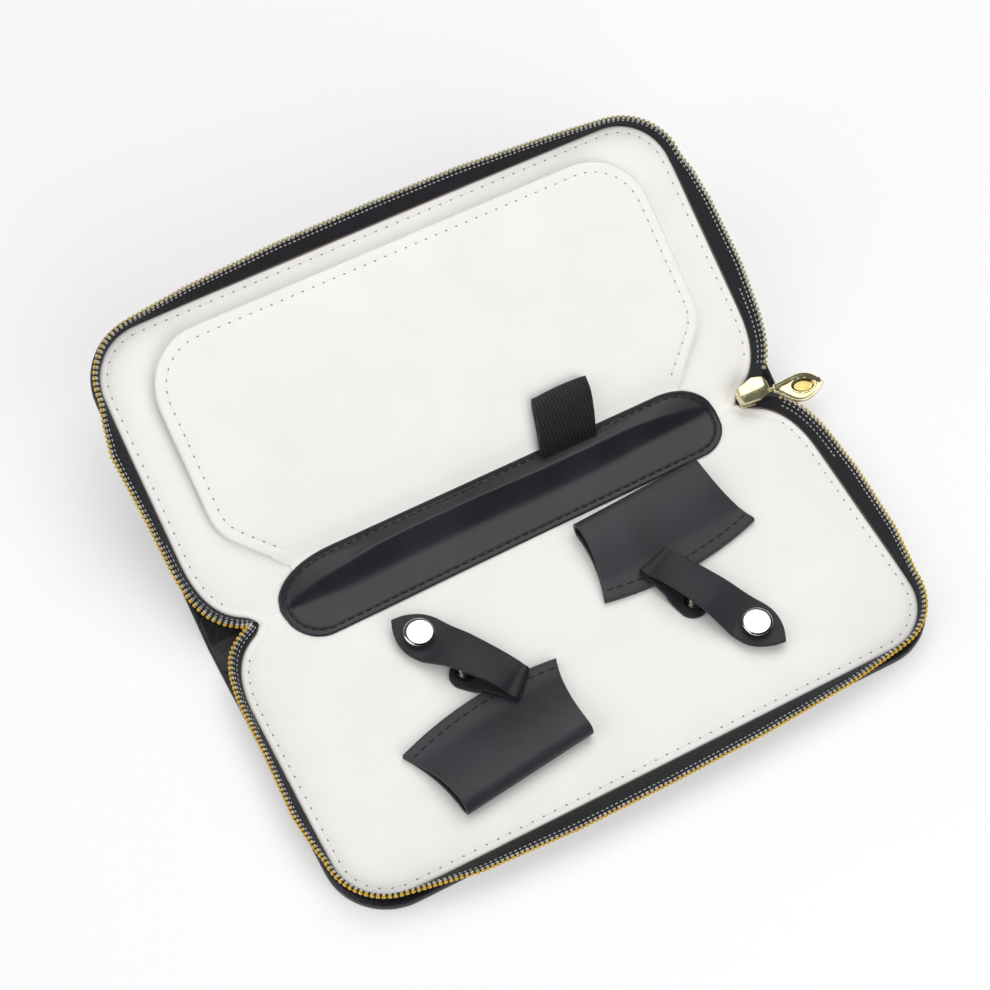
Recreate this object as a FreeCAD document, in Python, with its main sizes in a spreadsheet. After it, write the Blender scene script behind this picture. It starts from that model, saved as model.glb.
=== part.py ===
import FreeCAD, Part
import math
import os

import Sketcher
from FreeCAD import Placement, Rotation, Vector

# A book-shaped zip case for fountain pens, unzipped and opened out on a table.
# X runs along the spine, Y from the front edge to the spine, Z up.
# The origin is the middle of the lower leaf's underside.

doc = FreeCAD.newDocument("pen_case")
sheet = doc.addObject("Spreadsheet::Sheet", "sizes")

DIMENSIONS = [
    # Leaves
    ("lining_length", 190.0),
    ("leaf_depth", 83.3),
    ("corner_radius", 17.0),
    ("notch_radius", 12.0),
    ("edge_margin", 3.0),
    ("lip_overlap", 1.5),
    ("cover_thickness", 1.2),
    ("board_thickness", 2.0),
    ("lining_thickness", 1.4),
    ("board_clearance", 0.1),
    ("board_setback", 2.3),
    ("crease_gap", 0.5),
    # Zip wall of each leaf
    ("tape_thickness", 1.0),
    ("rim_height", 5.0),
    ("rim_flare_corner", 2.0),
    ("rim_flare_side", 5.0),
    ("rim_flare_front", 7.5),
    ("tape_setback", 15.0),
    ("tooth_pitch", 1.5),
    ("tooth_width", 0.9),
    ("tooth_length", 3.4),
    ("tooth_height", 1.1),
    ("tooth_overhang", 1.2),
    ("tooth_seat_gap", 0.06),
    # Spine
    ("spine_width", 25.0),
    ("spine_angle", 27.5),
    ("bend_radius", 6.4),
    ("spine_lining_inset", 13.0),
    ("strip_inset", 21.0),
    ("strip_thickness", 1.2),
    ("strip_ridge", 4.6),
    ("ridge_radius", 1.5),
    ("strip_margin", 0.9),
    ("soft_gap", 0.4),
    # Turn of the tape ends round the lining's corners
    ("left_end_angle", 70.0),
    ("right_end_angle", 25.0),
    # Elastic pen loop
    ("loop_centre", 27.5),
    ("loop_width", 18.0),
    ("loop_reach", 15.0),
    ("loop_depth", 3.6),
    ("elastic_thickness", 1.2),
    # Zip slider and pull tab
    ("slider_inset", 8.7),
    ("slider_length", 10.4),
    ("slider_width", 9.2),
    ("slider_tail", 6.6),
    ("slider_nose", 4.0),
    ("slider_plate", 1.2),
    ("slider_gap", 2.4),
    ("slider_post", 2.4),
    ("slider_lift", 5.0),
    ("hood_length", 7.9),
    ("hood_setback", 0.4),
    ("hood_width", 6.4),
    ("hood_ridge", 1.2),
    ("hood_height", 2.4),
    ("bail_overhang", 0.2),
    ("bail_span", 4.2),
    ("bail_height", 2.6),
    ("bail_bar", 0.8),
    ("bail_width", 2.0),
    ("tab_length", 17.4),
    ("tab_width", 9.6),
    ("tab_neck", 6.0),
    ("tab_thickness", 1.0),
    ("tab_dish_length", 7.2),
    ("tab_dish_width", 4.4),
    ("tab_dish_centre", 10.9),
    ("tab_dish_depth", 0.5),
    ("tab_slot", 3.9),
    ("tab_clearance", 1.0),
    ("tab_angle", -25.5),
    # Divider page
    ("divider_length", 164.0),
    ("divider_depth", 73.0),
    ("divider_root_length", 128.0),
    ("divider_cut", 21.0),
    ("divider_corner_radius", 15.0),
    ("divider_cut_radius", 20.0),
    ("divider_skin", 0.6),
    ("divider_core", 1.2),
    ("divider_hem", 3.0),
    ("divider_setback", 1.0),
    ("divider_gap", 0.3),
    ("divider_angle", 2.2),
    # Pen sleeves
    ("leather_thickness", 1.2),
    ("sleeve_seam_length", 53.5),
    ("sleeve_fold_length", 43.5),
    ("sleeve_waist_length", 45.0),
    ("sleeve_depth", 25.8),
    ("sleeve_height", 7.8),
    ("sleeve_seam", 7.0),
    ("sleeve_seam_bow", 3.4),
    ("left_sleeve_x", -36.8),
    ("left_sleeve_y", -0.4),
    ("left_sleeve_angle", 187.0),
    ("right_sleeve_x", 38.0),
    ("right_sleeve_y", 14.2),
    ("right_sleeve_angle", 3.5),
    # Snap straps
    ("strap_root_width", 10.5),
    ("strap_head_width", 14.5),
    ("left_tongue_length", 42.7),
    ("right_tongue_length", 45.5),
    ("tongue_start", 1.3),
    ("strap_base_length", 21.0),
    ("strap_bed", 9.5),
    ("strap_slope", 3.0),
    ("strap_fold_gap", 0.6),
    ("strap_clearance", 0.15),
    ("stud_distance", 16.5),
    ("stud_height", 2.2),
    ("cap_setback", 9.7),
    ("cap_diameter", 9.0),
    ("cap_height", 1.6),
    ("cap_edge", 0.5),
    ("socket_height", 2.4),
    ("socket_radius", 3.4),
    ("socket_clearance", 0.15),
    ("head_clearance", 0.4),
    ("stud_flange_radius", 3.2),
    ("stud_flange", 0.5),
    ("stud_head_radius", 1.75),
    ("stud_neck_radius", 1.3),
    ("left_strap_x", -23.7),
    ("left_strap_y", 0.1),
    ("left_tongue_angle", 33.5),
    ("left_base_angle", 45.0),
    ("right_strap_x", 30.0),
    ("right_strap_y", 16.0),
    ("right_tongue_angle", 207.5),
    ("right_base_angle", 196.5),
]
for row, (alias, value) in enumerate(DIMENSIONS, start=1):
    sheet.set(f"A{row}", alias)
    sheet.set(f"B{row}", str(value))
    sheet.setAlias(f"B{row}", alias)
doc.recompute()


def size(alias):
    return float(sheet.get(alias))


# Levels above the crease line, which runs in the middle of the cover's thickness
HINGE_HEIGHT = size("cover_thickness") / 2
BOARD_TOP = size("cover_thickness") / 2 + size("board_thickness")
LINING_TOP = BOARD_TOP + size("lining_thickness")
RIM_TOP = LINING_TOP + size("rim_height")
HALF_LINING = size("lining_length") / 2
HALF_SPINE = size("spine_width") / 2
HALF_STRIP = HALF_LINING - size("strip_inset")
SLIDER_X = HALF_LINING - size("slider_inset")
BEND = math.radians(size("spine_angle"))
# How far a cutting outline runs past the piece that it cuts
CUT_MARGIN = 1.0
TINY = 0.01

# The three frames that the pieces are built in, each with its crease on the local X axis
X_AXIS = Vector(1, 0, 0)
Z_AXIS = Vector(0, 0, 1)
CREASE_Y = (size("leaf_depth") + size("edge_margin")) / 2
SPINE = Placement(Vector(0, CREASE_Y, HINGE_HEIGHT), Rotation())
LOWER = SPINE * Placement(Vector(0, 0, 0), Rotation(Z_AXIS, 180))
BEND_LINE = Vector(0, HALF_SPINE, 0)
UPPER_CREASE = BEND_LINE + Vector(0, HALF_SPINE * math.cos(BEND), HALF_SPINE * math.sin(BEND))
UPPER = SPINE * Placement(UPPER_CREASE, Rotation(X_AXIS, size("spine_angle")))
MIDDLE = SPINE * Placement(BEND_LINE, Rotation(X_AXIS, size("spine_angle") / 2))
DIVIDER = UPPER * Placement(
    Vector(0, size("divider_setback"), LINING_TOP + size("divider_gap")),
    Rotation(X_AXIS, size("divider_angle")),
)
LINING_LEVEL = HINGE_HEIGHT + LINING_TOP

parts = []


def keep(part, label, placement):
    part.Label = label
    part.Placement = placement
    parts.append(part)
    return part


def new_body(name):
    return doc.addObject("PartDesign::Body", f"{name}_body")


def shape_part(label, shape, placement):
    part = doc.addObject("Part::Feature", label)
    part.Shape = shape
    return keep(part, label, placement)


def plane_of(body, role):
    for feature in body.Origin.OriginFeatures:
        if feature.Role == role:
            return feature
    raise ValueError(role)


def new_sketch(body, role, offset):
    sketch = body.newObject("Sketcher::SketchObject", f"{body.Name}_sketch")
    sketch.AttachmentSupport = (plane_of(body, role), "")
    sketch.MapMode = "FlatFace"
    sketch.setExpression("AttachmentOffset.Base.z", offset)
    return sketch


def rectangle(body, offset, half_length, near, far):
    # A rectangle centred on X, from the line y = near to the line y = far
    sketch = new_sketch(body, "XY_Plane", offset)
    corners = [Vector(-1, 1, 0), Vector(1, 1, 0), Vector(1, 2, 0), Vector(-1, 2, 0)]
    for i in range(4):
        sketch.addGeometry(Part.LineSegment(corners[i], corners[(i + 1) % 4]), False)
    for i in range(4):
        sketch.addConstraint(Sketcher.Constraint("Coincident", i, 2, (i + 1) % 4, 1))
    for side in (1, 3):
        sketch.addConstraint(Sketcher.Constraint("Vertical", side))
    sketch.addConstraint(Sketcher.Constraint("Horizontal", 2))
    sketch.addConstraint(Sketcher.Constraint("Symmetric", 0, 1, 0, 2, -2))
    for kind, vertex, expression in (
        ("DistanceX", 2, half_length),
        ("DistanceY", 2, near),
    ):
        index = sketch.addConstraint(Sketcher.Constraint(kind, -1, 1, 0, vertex, 1.0))
        sketch.setExpression(f"Constraints[{index}]", expression)
    index = sketch.addConstraint(Sketcher.Constraint("DistanceY", -1, 1, 2, 1, 2.0))
    sketch.setExpression(f"Constraints[{index}]", far)
    return sketch


def outline(body, role, offset, *loops):
    # A sketch made of closed loops of lines and arcs, worked out from the sheet's sizes
    sketch = new_sketch(body, role, offset)
    for loop in loops:
        for curve in loop:
            sketch.addGeometry(curve, False)
    return sketch


def polygon(*points):
    vectors = [Vector(x, y, 0) for x, y in points]
    return [Part.LineSegment(a, b) for a, b in zip(vectors, vectors[1:] + vectors[:1])]


def segment(start, end):
    return Part.LineSegment(Vector(*start, 0), Vector(*end, 0))


def arc(start, through, end):
    return Part.Arc(Vector(*start, 0), Vector(*through, 0), Vector(*end, 0))


def rounded_tray(half, near, far, radius):
    # A rectangle centred on X whose two far corners are rounded
    run = half - radius
    side = far - radius
    reach = radius * math.sqrt(0.5)
    return [
        segment((-half, near), (half, near)),
        segment((half, near), (half, side)),
        arc((half, side), (run + reach, side + reach), (run, far)),
        segment((run, far), (-run, far)),
        arc((-run, far), (-run - reach, side + reach), (-half, side)),
        segment((-half, side), (-half, near)),
    ]


def pad(body, sketch, length):
    feature = body.newObject("PartDesign::Pad", f"{body.Name}_pad")
    feature.Profile = sketch
    feature.setExpression("Length", length)
    doc.recompute()
    return feature


def cut_upwards(body, sketch):
    # Cuts everything that lies over the sketch, and makes sure that something was cut
    before = body.Shape.Volume
    feature = body.newObject("PartDesign::Pocket", f"{body.Name}_cut")
    feature.Profile = sketch
    feature.Type = "ThroughAll"
    feature.Reversed = True
    doc.recompute()
    if body.Shape.Volume >= before - 1e-6:
        raise RuntimeError(f"{body.Name}: nothing was cut")
    return feature


def upright_edges(shape, test):
    names = []
    for number, edge in enumerate(shape.Edges, start=1):
        if len(edge.Vertexes) != 2:
            continue
        a, b = (vertex.Point for vertex in edge.Vertexes)
        straight_up = abs(a.x - b.x) < 1e-6 and abs(a.y - b.y) < 1e-6
        if straight_up and test(a):
            names.append(f"Edge{number}")
    return names


def round_corners(body, test, radius):
    base = body.Tip
    feature = body.newObject("PartDesign::Fillet", f"{body.Name}_round")
    feature.Base = (base, upright_edges(base.Shape, test))
    feature.setExpression("Radius", radius)
    doc.recompute()
    return feature


def turned(label, profile, placement):
    # A round piece, turned about its own Z axis from a profile of (radius, height) points
    body = new_body(label)
    sketch = outline(body, "XZ_Plane", "0", profile)
    feature = body.newObject("PartDesign::Revolution", f"{label}_turn")
    feature.Profile = sketch
    feature.ReferenceAxis = (sketch, ["V_Axis"])
    feature.Angle = 360
    doc.recompute()
    return keep(body, label, placement)


# The flat layers of a leaf: cover with a turned edge, board and lining


def leaf_cover(label, placement):
    body = new_body(label)
    half = "sizes.lining_length / 2 + sizes.edge_margin"
    far = "sizes.leaf_depth + sizes.edge_margin"
    sketch = rectangle(body, "-sizes.cover_thickness / 2", half, "sizes.crease_gap", far)
    pad(body, sketch, "sizes.cover_thickness + sizes.board_thickness")
    middle = size("leaf_depth") / 2
    round_corners(body, lambda p: p.y > middle, "sizes.corner_radius + sizes.edge_margin")
    recess = rounded_tray(
        HALF_LINING - size("lip_overlap"),
        size("crease_gap") / 2,
        size("leaf_depth") - size("lip_overlap"),
        size("corner_radius") - size("lip_overlap"),
    )
    cut_upwards(body, outline(body, "XY_Plane", "sizes.cover_thickness / 2", recess))
    return keep(body, label, placement)


def leaf_board(label, placement):
    body = new_body(label)
    sketch = rectangle(
        body,
        "sizes.cover_thickness / 2",
        "sizes.lining_length / 2 - sizes.lip_overlap - sizes.board_clearance",
        "sizes.board_setback",
        "sizes.leaf_depth - sizes.lip_overlap - sizes.board_clearance",
    )
    pad(body, sketch, "sizes.board_thickness")
    middle = size("leaf_depth") / 2
    round_corners(
        body,
        lambda p: p.y > middle,
        "sizes.corner_radius - sizes.lip_overlap - sizes.board_clearance",
    )
    return keep(body, label, placement)


def leaf_lining(label, placement):
    body = new_body(label)
    bottom = "sizes.cover_thickness / 2 + sizes.board_thickness"
    sketch = rectangle(body, bottom, "sizes.lining_length / 2", "sizes.crease_gap", "sizes.leaf_depth")
    pad(body, sketch, "sizes.lining_thickness")
    middle = size("leaf_depth") / 2
    round_corners(body, lambda p: p.y > middle, "sizes.corner_radius")
    round_corners(body, lambda p: p.y < size("crease_gap") + TINY, "sizes.notch_radius")
    return keep(body, label, placement)


# The zip wall of a leaf: a tape that flares outwards, and the teeth along its rim


def wall_curves(level, offset, side_bow, front_bow):
    # The open run round three sides of the lining, at one level and one distance outside its border.
    # The sides and the front bow out by the amounts given.
    half = HALF_LINING + offset
    depth = size("leaf_depth") + offset
    start = size("tape_setback")
    radius = size("corner_radius") + offset
    straight = size("leaf_depth") - size("corner_radius")
    run = HALF_LINING - size("corner_radius")
    diagonal = radius * math.sqrt(0.5)

    def side(sign, reverse):
        points = [
            Vector(sign * half, start, level),
            Vector(sign * (half + side_bow), (start + straight) / 2, level),
            Vector(sign * half, straight, level),
        ]
        if reverse:
            points.reverse()
        return curve_through(points, side_bow)

    def corner(sign, reverse):
        points = [
            Vector(sign * half, straight, level),
            Vector(sign * (run + diagonal), straight + diagonal, level),
            Vector(sign * run, depth, level),
        ]
        if reverse:
            points.reverse()
        return curve_through(points, radius)

    front = [
        Vector(run, depth, level),
        Vector(0, depth + front_bow, level),
        Vector(-run, depth, level),
    ]
    return [
        side(1, False),
        corner(1, False),
        curve_through(front, front_bow),
        corner(-1, True),
        side(-1, True),
    ]


def curve_through(points, bow):
    if bow > 0:
        return Part.Arc(*points).toShape()
    return Part.LineSegment(points[0], points[2]).toShape()


def wall_band(level, offset, side_bow, front_bow):
    inner = wall_curves(level, offset, side_bow, front_bow)
    outer = wall_curves(level, offset + size("tape_thickness"), side_bow, front_bow)
    start = Part.LineSegment(inner[0].firstVertex().Point, outer[0].firstVertex().Point).toShape()
    end = Part.LineSegment(outer[-1].lastVertex().Point, inner[-1].lastVertex().Point).toShape()
    return Part.Wire(Part.__sortEdges__([start] + outer + [end] + inner))


def rim_bows():
    corner = size("rim_flare_corner")
    return size("rim_flare_side") - corner, size("rim_flare_front") - corner


def zip_tape(label, placement):
    side_bow, front_bow = rim_bows()
    base = wall_band(BOARD_TOP, 0, 0, 0)
    rim = wall_band(RIM_TOP, size("rim_flare_corner"), side_bow, front_bow)
    wall = Part.makeLoft([base, rim], True, True)
    return shape_part(label, wall, placement)


def zip_teeth(label, placement):
    # Teeth at a steady pitch on the tape's outer face, standing a little past its rim
    side_bow, front_bow = rim_bows()
    outer = size("tape_thickness")
    base_run = wall_curves(BOARD_TOP, outer, 0, 0)
    rim_run = wall_curves(RIM_TOP, size("rim_flare_corner") + outer, side_bow, front_bow)
    pitch = size("tooth_pitch")
    width = size("tooth_width")
    length = size("tooth_length")
    sunk = length - size("tooth_overhang")
    teeth = []
    travelled = pitch / 2
    for base_edge, rim_edge in zip(base_run, rim_run):
        while travelled < rim_edge.Length:
            share = travelled / rim_edge.Length
            rim_point = point_along(rim_edge, share)
            along = direction_along(rim_edge, share)
            up = (rim_point - point_along(base_edge, share)).normalize()
            out = along.cross(up).normalize()
            up = out.cross(along)
            corner = rim_point - along * (width / 2) - up * sunk + out * size("tooth_seat_gap")
            turn = Rotation(along, up, out, "ZXY")
            tooth = Part.makeBox(width, length, size("tooth_height"))
            tooth.Placement = Placement(corner, turn)
            teeth.append(tooth)
            travelled += pitch
        travelled -= rim_edge.Length
    return shape_part(label, Part.makeCompound(teeth), placement)


def point_along(edge, share):
    return edge.valueAt(edge.getParameterByLength(edge.Length * share))


def direction_along(edge, share):
    return edge.tangentAt(edge.getParameterByLength(edge.Length * share)).normalize()


def build_leaf(prefix, placement):
    leaf_cover(f"{prefix}_cover", placement)
    leaf_board(f"{prefix}_board", placement)
    leaf_lining(f"{prefix}_lining", placement)
    zip_tape(f"{prefix}_zip_tape", placement)
    zip_teeth(f"{prefix}_zip_teeth", placement)


# The spine: layers bent along its middle, so that it lies flat with the lower leaf


def bent_profile(bottom, top, end_gap):
    # Section of a bent layer between two levels above the crease line, in (y, z)
    radius = size("bend_radius")
    tangent = radius * math.tan(BEND / 2)
    centre = (HALF_SPINE - tangent, radius)
    leaf_dir = (math.cos(BEND), math.sin(BEND))
    leaf_up = (-math.sin(BEND), math.cos(BEND))
    tip = UPPER_CREASE

    def run(level):
        reach = radius - level
        near = (end_gap, level)
        flat_end = (centre[0], level)
        middle = (centre[0] + reach * math.sin(BEND / 2), centre[1] - reach * math.cos(BEND / 2))
        slope_start = (centre[0] + reach * math.sin(BEND), centre[1] - reach * math.cos(BEND))
        far = (
            tip.y - end_gap * leaf_dir[0] + level * leaf_up[0],
            tip.z - end_gap * leaf_dir[1] + level * leaf_up[1],
        )
        return near, flat_end, middle, slope_start, far

    low = run(bottom)
    high = run(top)
    return [
        segment(low[0], low[1]),
        arc(low[1], low[2], low[3]),
        segment(low[3], low[4]),
        segment(low[4], high[4]),
        segment(high[4], high[3]),
        arc(high[3], high[2], high[1]),
        segment(high[1], high[0]),
        segment(high[0], low[0]),
    ]


def bent_layer(name, length, bottom, top, end_gap):
    body = new_body(name)
    sketch = outline(body, "YZ_Plane", f"-({length}) / 2", bent_profile(bottom, top, end_gap))
    pad(body, sketch, length)
    return body


def build_spine():
    half_cover = size("cover_thickness") / 2
    cover_length = "sizes.lining_length - 2 * sizes.lip_overlap"
    cover = bent_layer("spine_cover", cover_length, -half_cover, half_cover, size("crease_gap"))
    keep(cover, "spine_cover", SPINE)
    soft_length = "sizes.lining_length - 2 * sizes.spine_lining_inset"
    filler = bent_layer("spine_filler", soft_length, half_cover, BOARD_TOP, size("board_setback"))
    keep(filler, "spine_filler", SPINE)
    lining = bent_layer("spine_lining", soft_length, BOARD_TOP, LINING_TOP, size("soft_gap"))
    keep(lining, "spine_lining", SPINE)
    strip = new_body("spine_strip")
    strip_length = "sizes.lining_length - 2 * sizes.strip_inset"
    pad(strip, outline(strip, "YZ_Plane", f"-({strip_length}) / 2", strip_profile()), strip_length)
    cut_upwards(strip, outline(strip, "XY_Plane", "0", *strip_ends()))
    keep(strip, "spine_strip", SPINE)


def strip_profile():
    # Section of the padded strip: flat on the lining, thin at both edges, with a ridge over the bend
    bottom = bent_profile(LINING_TOP, LINING_TOP + size("strip_thickness"), size("strip_margin"))
    underside = bottom[:3]
    near_edge = bottom[7]
    far_edge = bottom[3]
    near_top = near_edge.StartPoint
    far_top = far_edge.EndPoint
    crest_level = LINING_TOP + size("strip_ridge")
    inward = Vector(-math.sin(BEND / 2), math.cos(BEND / 2), 0)
    along = Vector(math.cos(BEND / 2), math.sin(BEND / 2), 0)
    crest = Vector(HALF_SPINE, 0, 0) + inward * crest_level
    radius = size("ridge_radius")
    near_shoulder = crest - along * radius - inward * (radius / 2)
    far_shoulder = crest + along * radius - inward * (radius / 2)
    return underside + [
        far_edge,
        Part.LineSegment(far_top, far_shoulder),
        Part.Arc(far_shoulder, crest, near_shoulder),
        Part.LineSegment(near_shoulder, near_top),
        near_edge,
    ]


def strip_ends():
    # What is cut off each end of the strip to round it
    half = HALF_STRIP
    near = -CUT_MARGIN
    far = UPPER_CREASE.y
    shoulder = half - (far - near) / 2
    outside = half + CUT_MARGIN
    loops = []
    for sign in (1, -1):
        loops.append(
            [
                arc((sign * shoulder, near), (sign * half, (near + far) / 2), (sign * shoulder, far)),
                segment((sign * shoulder, far), (sign * outside, far)),
                segment((sign * outside, far), (sign * outside, near)),
                segment((sign * outside, near), (sign * shoulder, near)),
            ]
        )
    return loops


# The elastic loop, laid back over the divider, with its ends on the strip's upper edge


def pen_loop():
    body = new_body("pen_loop")
    thickness = size("elastic_thickness")
    seat = LINING_TOP + size("strip_thickness") + size("elastic_thickness") / 2
    root = -size("strip_margin") - thickness
    tip = size("loop_reach")
    divider_top = size("divider_gap") + 2 * size("divider_skin") + size("divider_core")
    rise = tip * math.tan(math.radians(size("divider_angle")))
    bottom = LINING_TOP + divider_top + rise + size("soft_gap")
    top = bottom + size("loop_depth")
    bow = size("loop_depth") / 2
    middle = (bottom + top) / 2
    inner_bow = bow - thickness
    near = root + bow
    far = tip - bow
    diagonal = bow * math.sqrt(0.5)
    outer_loop = [
        segment((root, seat), (root, middle)),
        arc((root, middle), (near - diagonal, middle + diagonal), (near, top)),
        segment((near, top), (far, top)),
        arc((far, top), (tip, middle), (far, bottom)),
        segment((far, bottom), (root + thickness, bottom)),
        segment((root + thickness, bottom), (root + thickness, seat)),
        segment((root + thickness, seat), (root, seat)),
    ]
    inner_loop = [
        segment((near, middle - inner_bow), (far, middle - inner_bow)),
        arc((far, middle - inner_bow), (far + inner_bow, middle), (far, middle + inner_bow)),
        segment((far, middle + inner_bow), (near, middle + inner_bow)),
        arc((near, middle + inner_bow), (near - inner_bow, middle), (near, middle - inner_bow)),
    ]
    start = "sizes.loop_centre - sizes.loop_width / 2"
    pad(body, outline(body, "YZ_Plane", start, outer_loop, inner_loop), "sizes.loop_width")
    return keep(body, "pen_loop", UPPER)


# The bent ends of both tapes at the notches beside the spine


def tape_bend(sign, end_turn, tip_x, tip_y, tip_level):
    # One tape's end, from the stiff run of its wall round the lining's corner to its tip.
    # Built in the spine's frame on the lower leaf's side.
    thickness = size("tape_thickness")
    radius = size("notch_radius") + size("soft_gap")
    centre_x = HALF_LINING - size("notch_radius")
    centre_y = -size("crease_gap") - size("notch_radius")
    low = BOARD_TOP + size("soft_gap")
    start = (HALF_LINING + size("rim_flare_corner") / 2, size("soft_gap") - size("tape_setback"))
    stations = [start]
    steps = 4
    for step in range(1, steps + 1):
        turn = math.radians(end_turn) * step / steps
        stations.append((centre_x + radius * math.cos(turn), centre_y + radius * math.sin(turn)))
    stations.append((tip_x, tip_y))
    sections = []
    for index, (x, y) in enumerate(stations):
        before = stations[max(index - 1, 0)]
        after = stations[min(index + 1, len(stations) - 1)]
        length = math.hypot(after[0] - before[0], after[1] - before[1])
        across = Vector((after[1] - before[1]) / length, (before[0] - after[0]) / length, 0) * thickness
        foot = Vector(x, y, low)
        head = Vector(x, y, tip_level if index == len(stations) - 1 else RIM_TOP)
        corners = [foot, foot + across, head + across, head, foot]
        sections.append(Part.makePolygon([Vector(sign * c.x, c.y, c.z) for c in corners]))
    return Part.makeLoft(sections, True, True)


def zip_end(label, sign, end_turn, tip_x, tip_gap, tip_level):
    lower_end = tape_bend(sign, end_turn, tip_x, HALF_SPINE - tip_gap, tip_level)
    fold_normal = Vector(0, math.cos(BEND / 2), math.sin(BEND / 2))
    upper_end = lower_end.mirror(BEND_LINE, fold_normal)
    return shape_part(label, Part.makeCompound([lower_end, upper_end]), SPINE)


def zip_ends():
    notch_tip = HALF_LINING - size("spine_lining_inset") + size("soft_gap")
    fold_gap = RIM_TOP * math.tan(BEND / 2) + size("soft_gap")
    zip_end("left_zip_end", -1, size("left_end_angle"), notch_tip, fold_gap, RIM_TOP)
    mouth = SLIDER_X + size("slider_length") / 2 + size("soft_gap")
    mouth_level = size("slider_lift") + size("slider_plate") + size("slider_gap") / 2
    zip_end("right_zip_end", 1, size("right_end_angle"), mouth, size("slider_width") / 2, mouth_level)


# The zip slider: two plates joined by a post, a ridged hood and a bail that holds the pull tab

SLIDER = MIDDLE * Placement(Vector(SLIDER_X, 0, size("slider_lift")), Rotation())
SLIDER_TOP = 2 * size("slider_plate") + size("slider_gap")
BAIL_CENTRE = size("slider_length") / 2 + size("bail_overhang")
TAB_LEVEL = SLIDER_TOP + (size("bail_height") - size("bail_bar")) / 2
TAB = SLIDER * Placement(Vector(BAIL_CENTRE, 0, TAB_LEVEL), Rotation(Z_AXIS, size("tab_angle")))


def slider_plan():
    # Shield-shaped plate: a rounded nose where the tapes part, a narrower tail
    half_length = size("slider_length") / 2
    half_width = size("slider_width") / 2
    tail = size("slider_tail") / 2
    shoulder = half_length - size("slider_nose")
    return [
        segment((-half_length, -tail), (shoulder, -half_width)),
        arc((shoulder, -half_width), (half_length, 0), (shoulder, half_width)),
        segment((shoulder, half_width), (-half_length, tail)),
        segment((-half_length, tail), (-half_length, -tail)),
    ]


def zip_slider():
    body = new_body("zip_slider")
    pad(body, outline(body, "XY_Plane", "0", slider_plan()), "sizes.slider_plate")
    half = size("slider_post") / 2
    post = polygon((-half, -half), (half, -half), (half, half), (-half, half))
    pad(body, outline(body, "XY_Plane", "sizes.slider_plate", post), "sizes.slider_gap")
    top = "sizes.slider_plate + sizes.slider_gap"
    pad(body, outline(body, "XY_Plane", top, slider_plan()), "sizes.slider_plate")
    start = "sizes.hood_setback - sizes.slider_length / 2"
    pad(body, outline(body, "YZ_Plane", start, hood_profile()), "sizes.hood_length")
    return keep(body, "zip_slider", SLIDER)


def hood_profile():
    # A roof over the top plate, with a narrow flat ridge
    foot = size("hood_width") / 2
    ridge = size("hood_ridge") / 2
    crest = SLIDER_TOP + size("hood_height")
    return polygon((-foot, SLIDER_TOP), (foot, SLIDER_TOP), (ridge, crest), (-ridge, crest))


def slider_bail():
    # An arch past the slider's nose, seen from the side
    body = new_body("slider_bail")
    half = size("bail_span") / 2
    height = size("bail_height")
    bar = size("bail_bar")
    arch = polygon(
        (BAIL_CENTRE - half, SLIDER_TOP),
        (BAIL_CENTRE - half, SLIDER_TOP + height),
        (BAIL_CENTRE + half, SLIDER_TOP + height),
        (BAIL_CENTRE + half, SLIDER_TOP),
        (BAIL_CENTRE + half - bar, SLIDER_TOP),
        (BAIL_CENTRE + half - bar, SLIDER_TOP + height - bar),
        (BAIL_CENTRE - half + bar, SLIDER_TOP + height - bar),
        (BAIL_CENTRE - half + bar, SLIDER_TOP),
    )
    pad(body, outline(body, "XZ_Plane", "-sizes.bail_width / 2", arch), "sizes.bail_width")
    return keep(body, "slider_bail", SLIDER)


def pull_tab():
    # A pointed oval plate with an oval dish in its face, whose crossbar lies inside the bail
    body = new_body("pull_tab")
    bar = size("tab_thickness") / 2
    neck = size("tab_neck") / 2
    wide = size("tab_width") / 2
    belly = size("tab_dish_centre")
    neck_end = size("tab_slot") + size("tab_thickness")
    tip = size("tab_length")
    edge = [
        segment((-bar, -neck), (neck_end, -neck)),
        arc((neck_end, -neck), (belly, -wide), (tip, 0)),
        arc((tip, 0), (belly, wide), (neck_end, neck)),
        segment((neck_end, neck), (-bar, neck)),
        segment((-bar, neck), (-bar, -neck)),
    ]
    dish_half = size("tab_dish_length") / 2
    dish_wide = size("tab_dish_width") / 2
    dish = [
        arc((belly - dish_half, 0), (belly, -dish_wide), (belly + dish_half, 0)),
        arc((belly + dish_half, 0), (belly, dish_wide), (belly - dish_half, 0)),
    ]
    slot_half = size("bail_width") / 2 + size("tab_clearance")
    slot_end = size("tab_slot")
    slot = polygon((bar, -slot_half), (slot_end, -slot_half), (slot_end, slot_half), (bar, slot_half))
    sketch = outline(body, "XY_Plane", "-sizes.tab_thickness / 2", edge, slot)
    pad(body, sketch, "sizes.tab_thickness")
    dish_floor = "sizes.tab_thickness / 2 - sizes.tab_dish_depth"
    cut_upwards(body, outline(body, "XY_Plane", dish_floor, dish))
    return keep(body, "pull_tab", TAB)


# The divider page: two skins over a core, cut slanting beside the spine


def divider_plan(inset):
    half = size("divider_length") / 2 - inset
    root = size("divider_root_length") / 2 - inset
    near = inset
    far = size("divider_depth") - inset
    cut = size("divider_cut")
    return polygon((-root, near), (root, near), (half, cut), (half, far), (-half, far), (-half, cut))


def divider_layer(label, bottom, thickness, inset):
    body = new_body(label)
    pad(body, outline(body, "XY_Plane", bottom, divider_plan(inset)), thickness)
    far = size("divider_depth") / 2
    round_corners(body, lambda p: p.y > far, "sizes.divider_corner_radius")
    cut = size("divider_cut")
    round_corners(body, lambda p: abs(p.y - cut) < TINY, "sizes.divider_cut_radius")
    return keep(body, label, DIVIDER)


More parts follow.
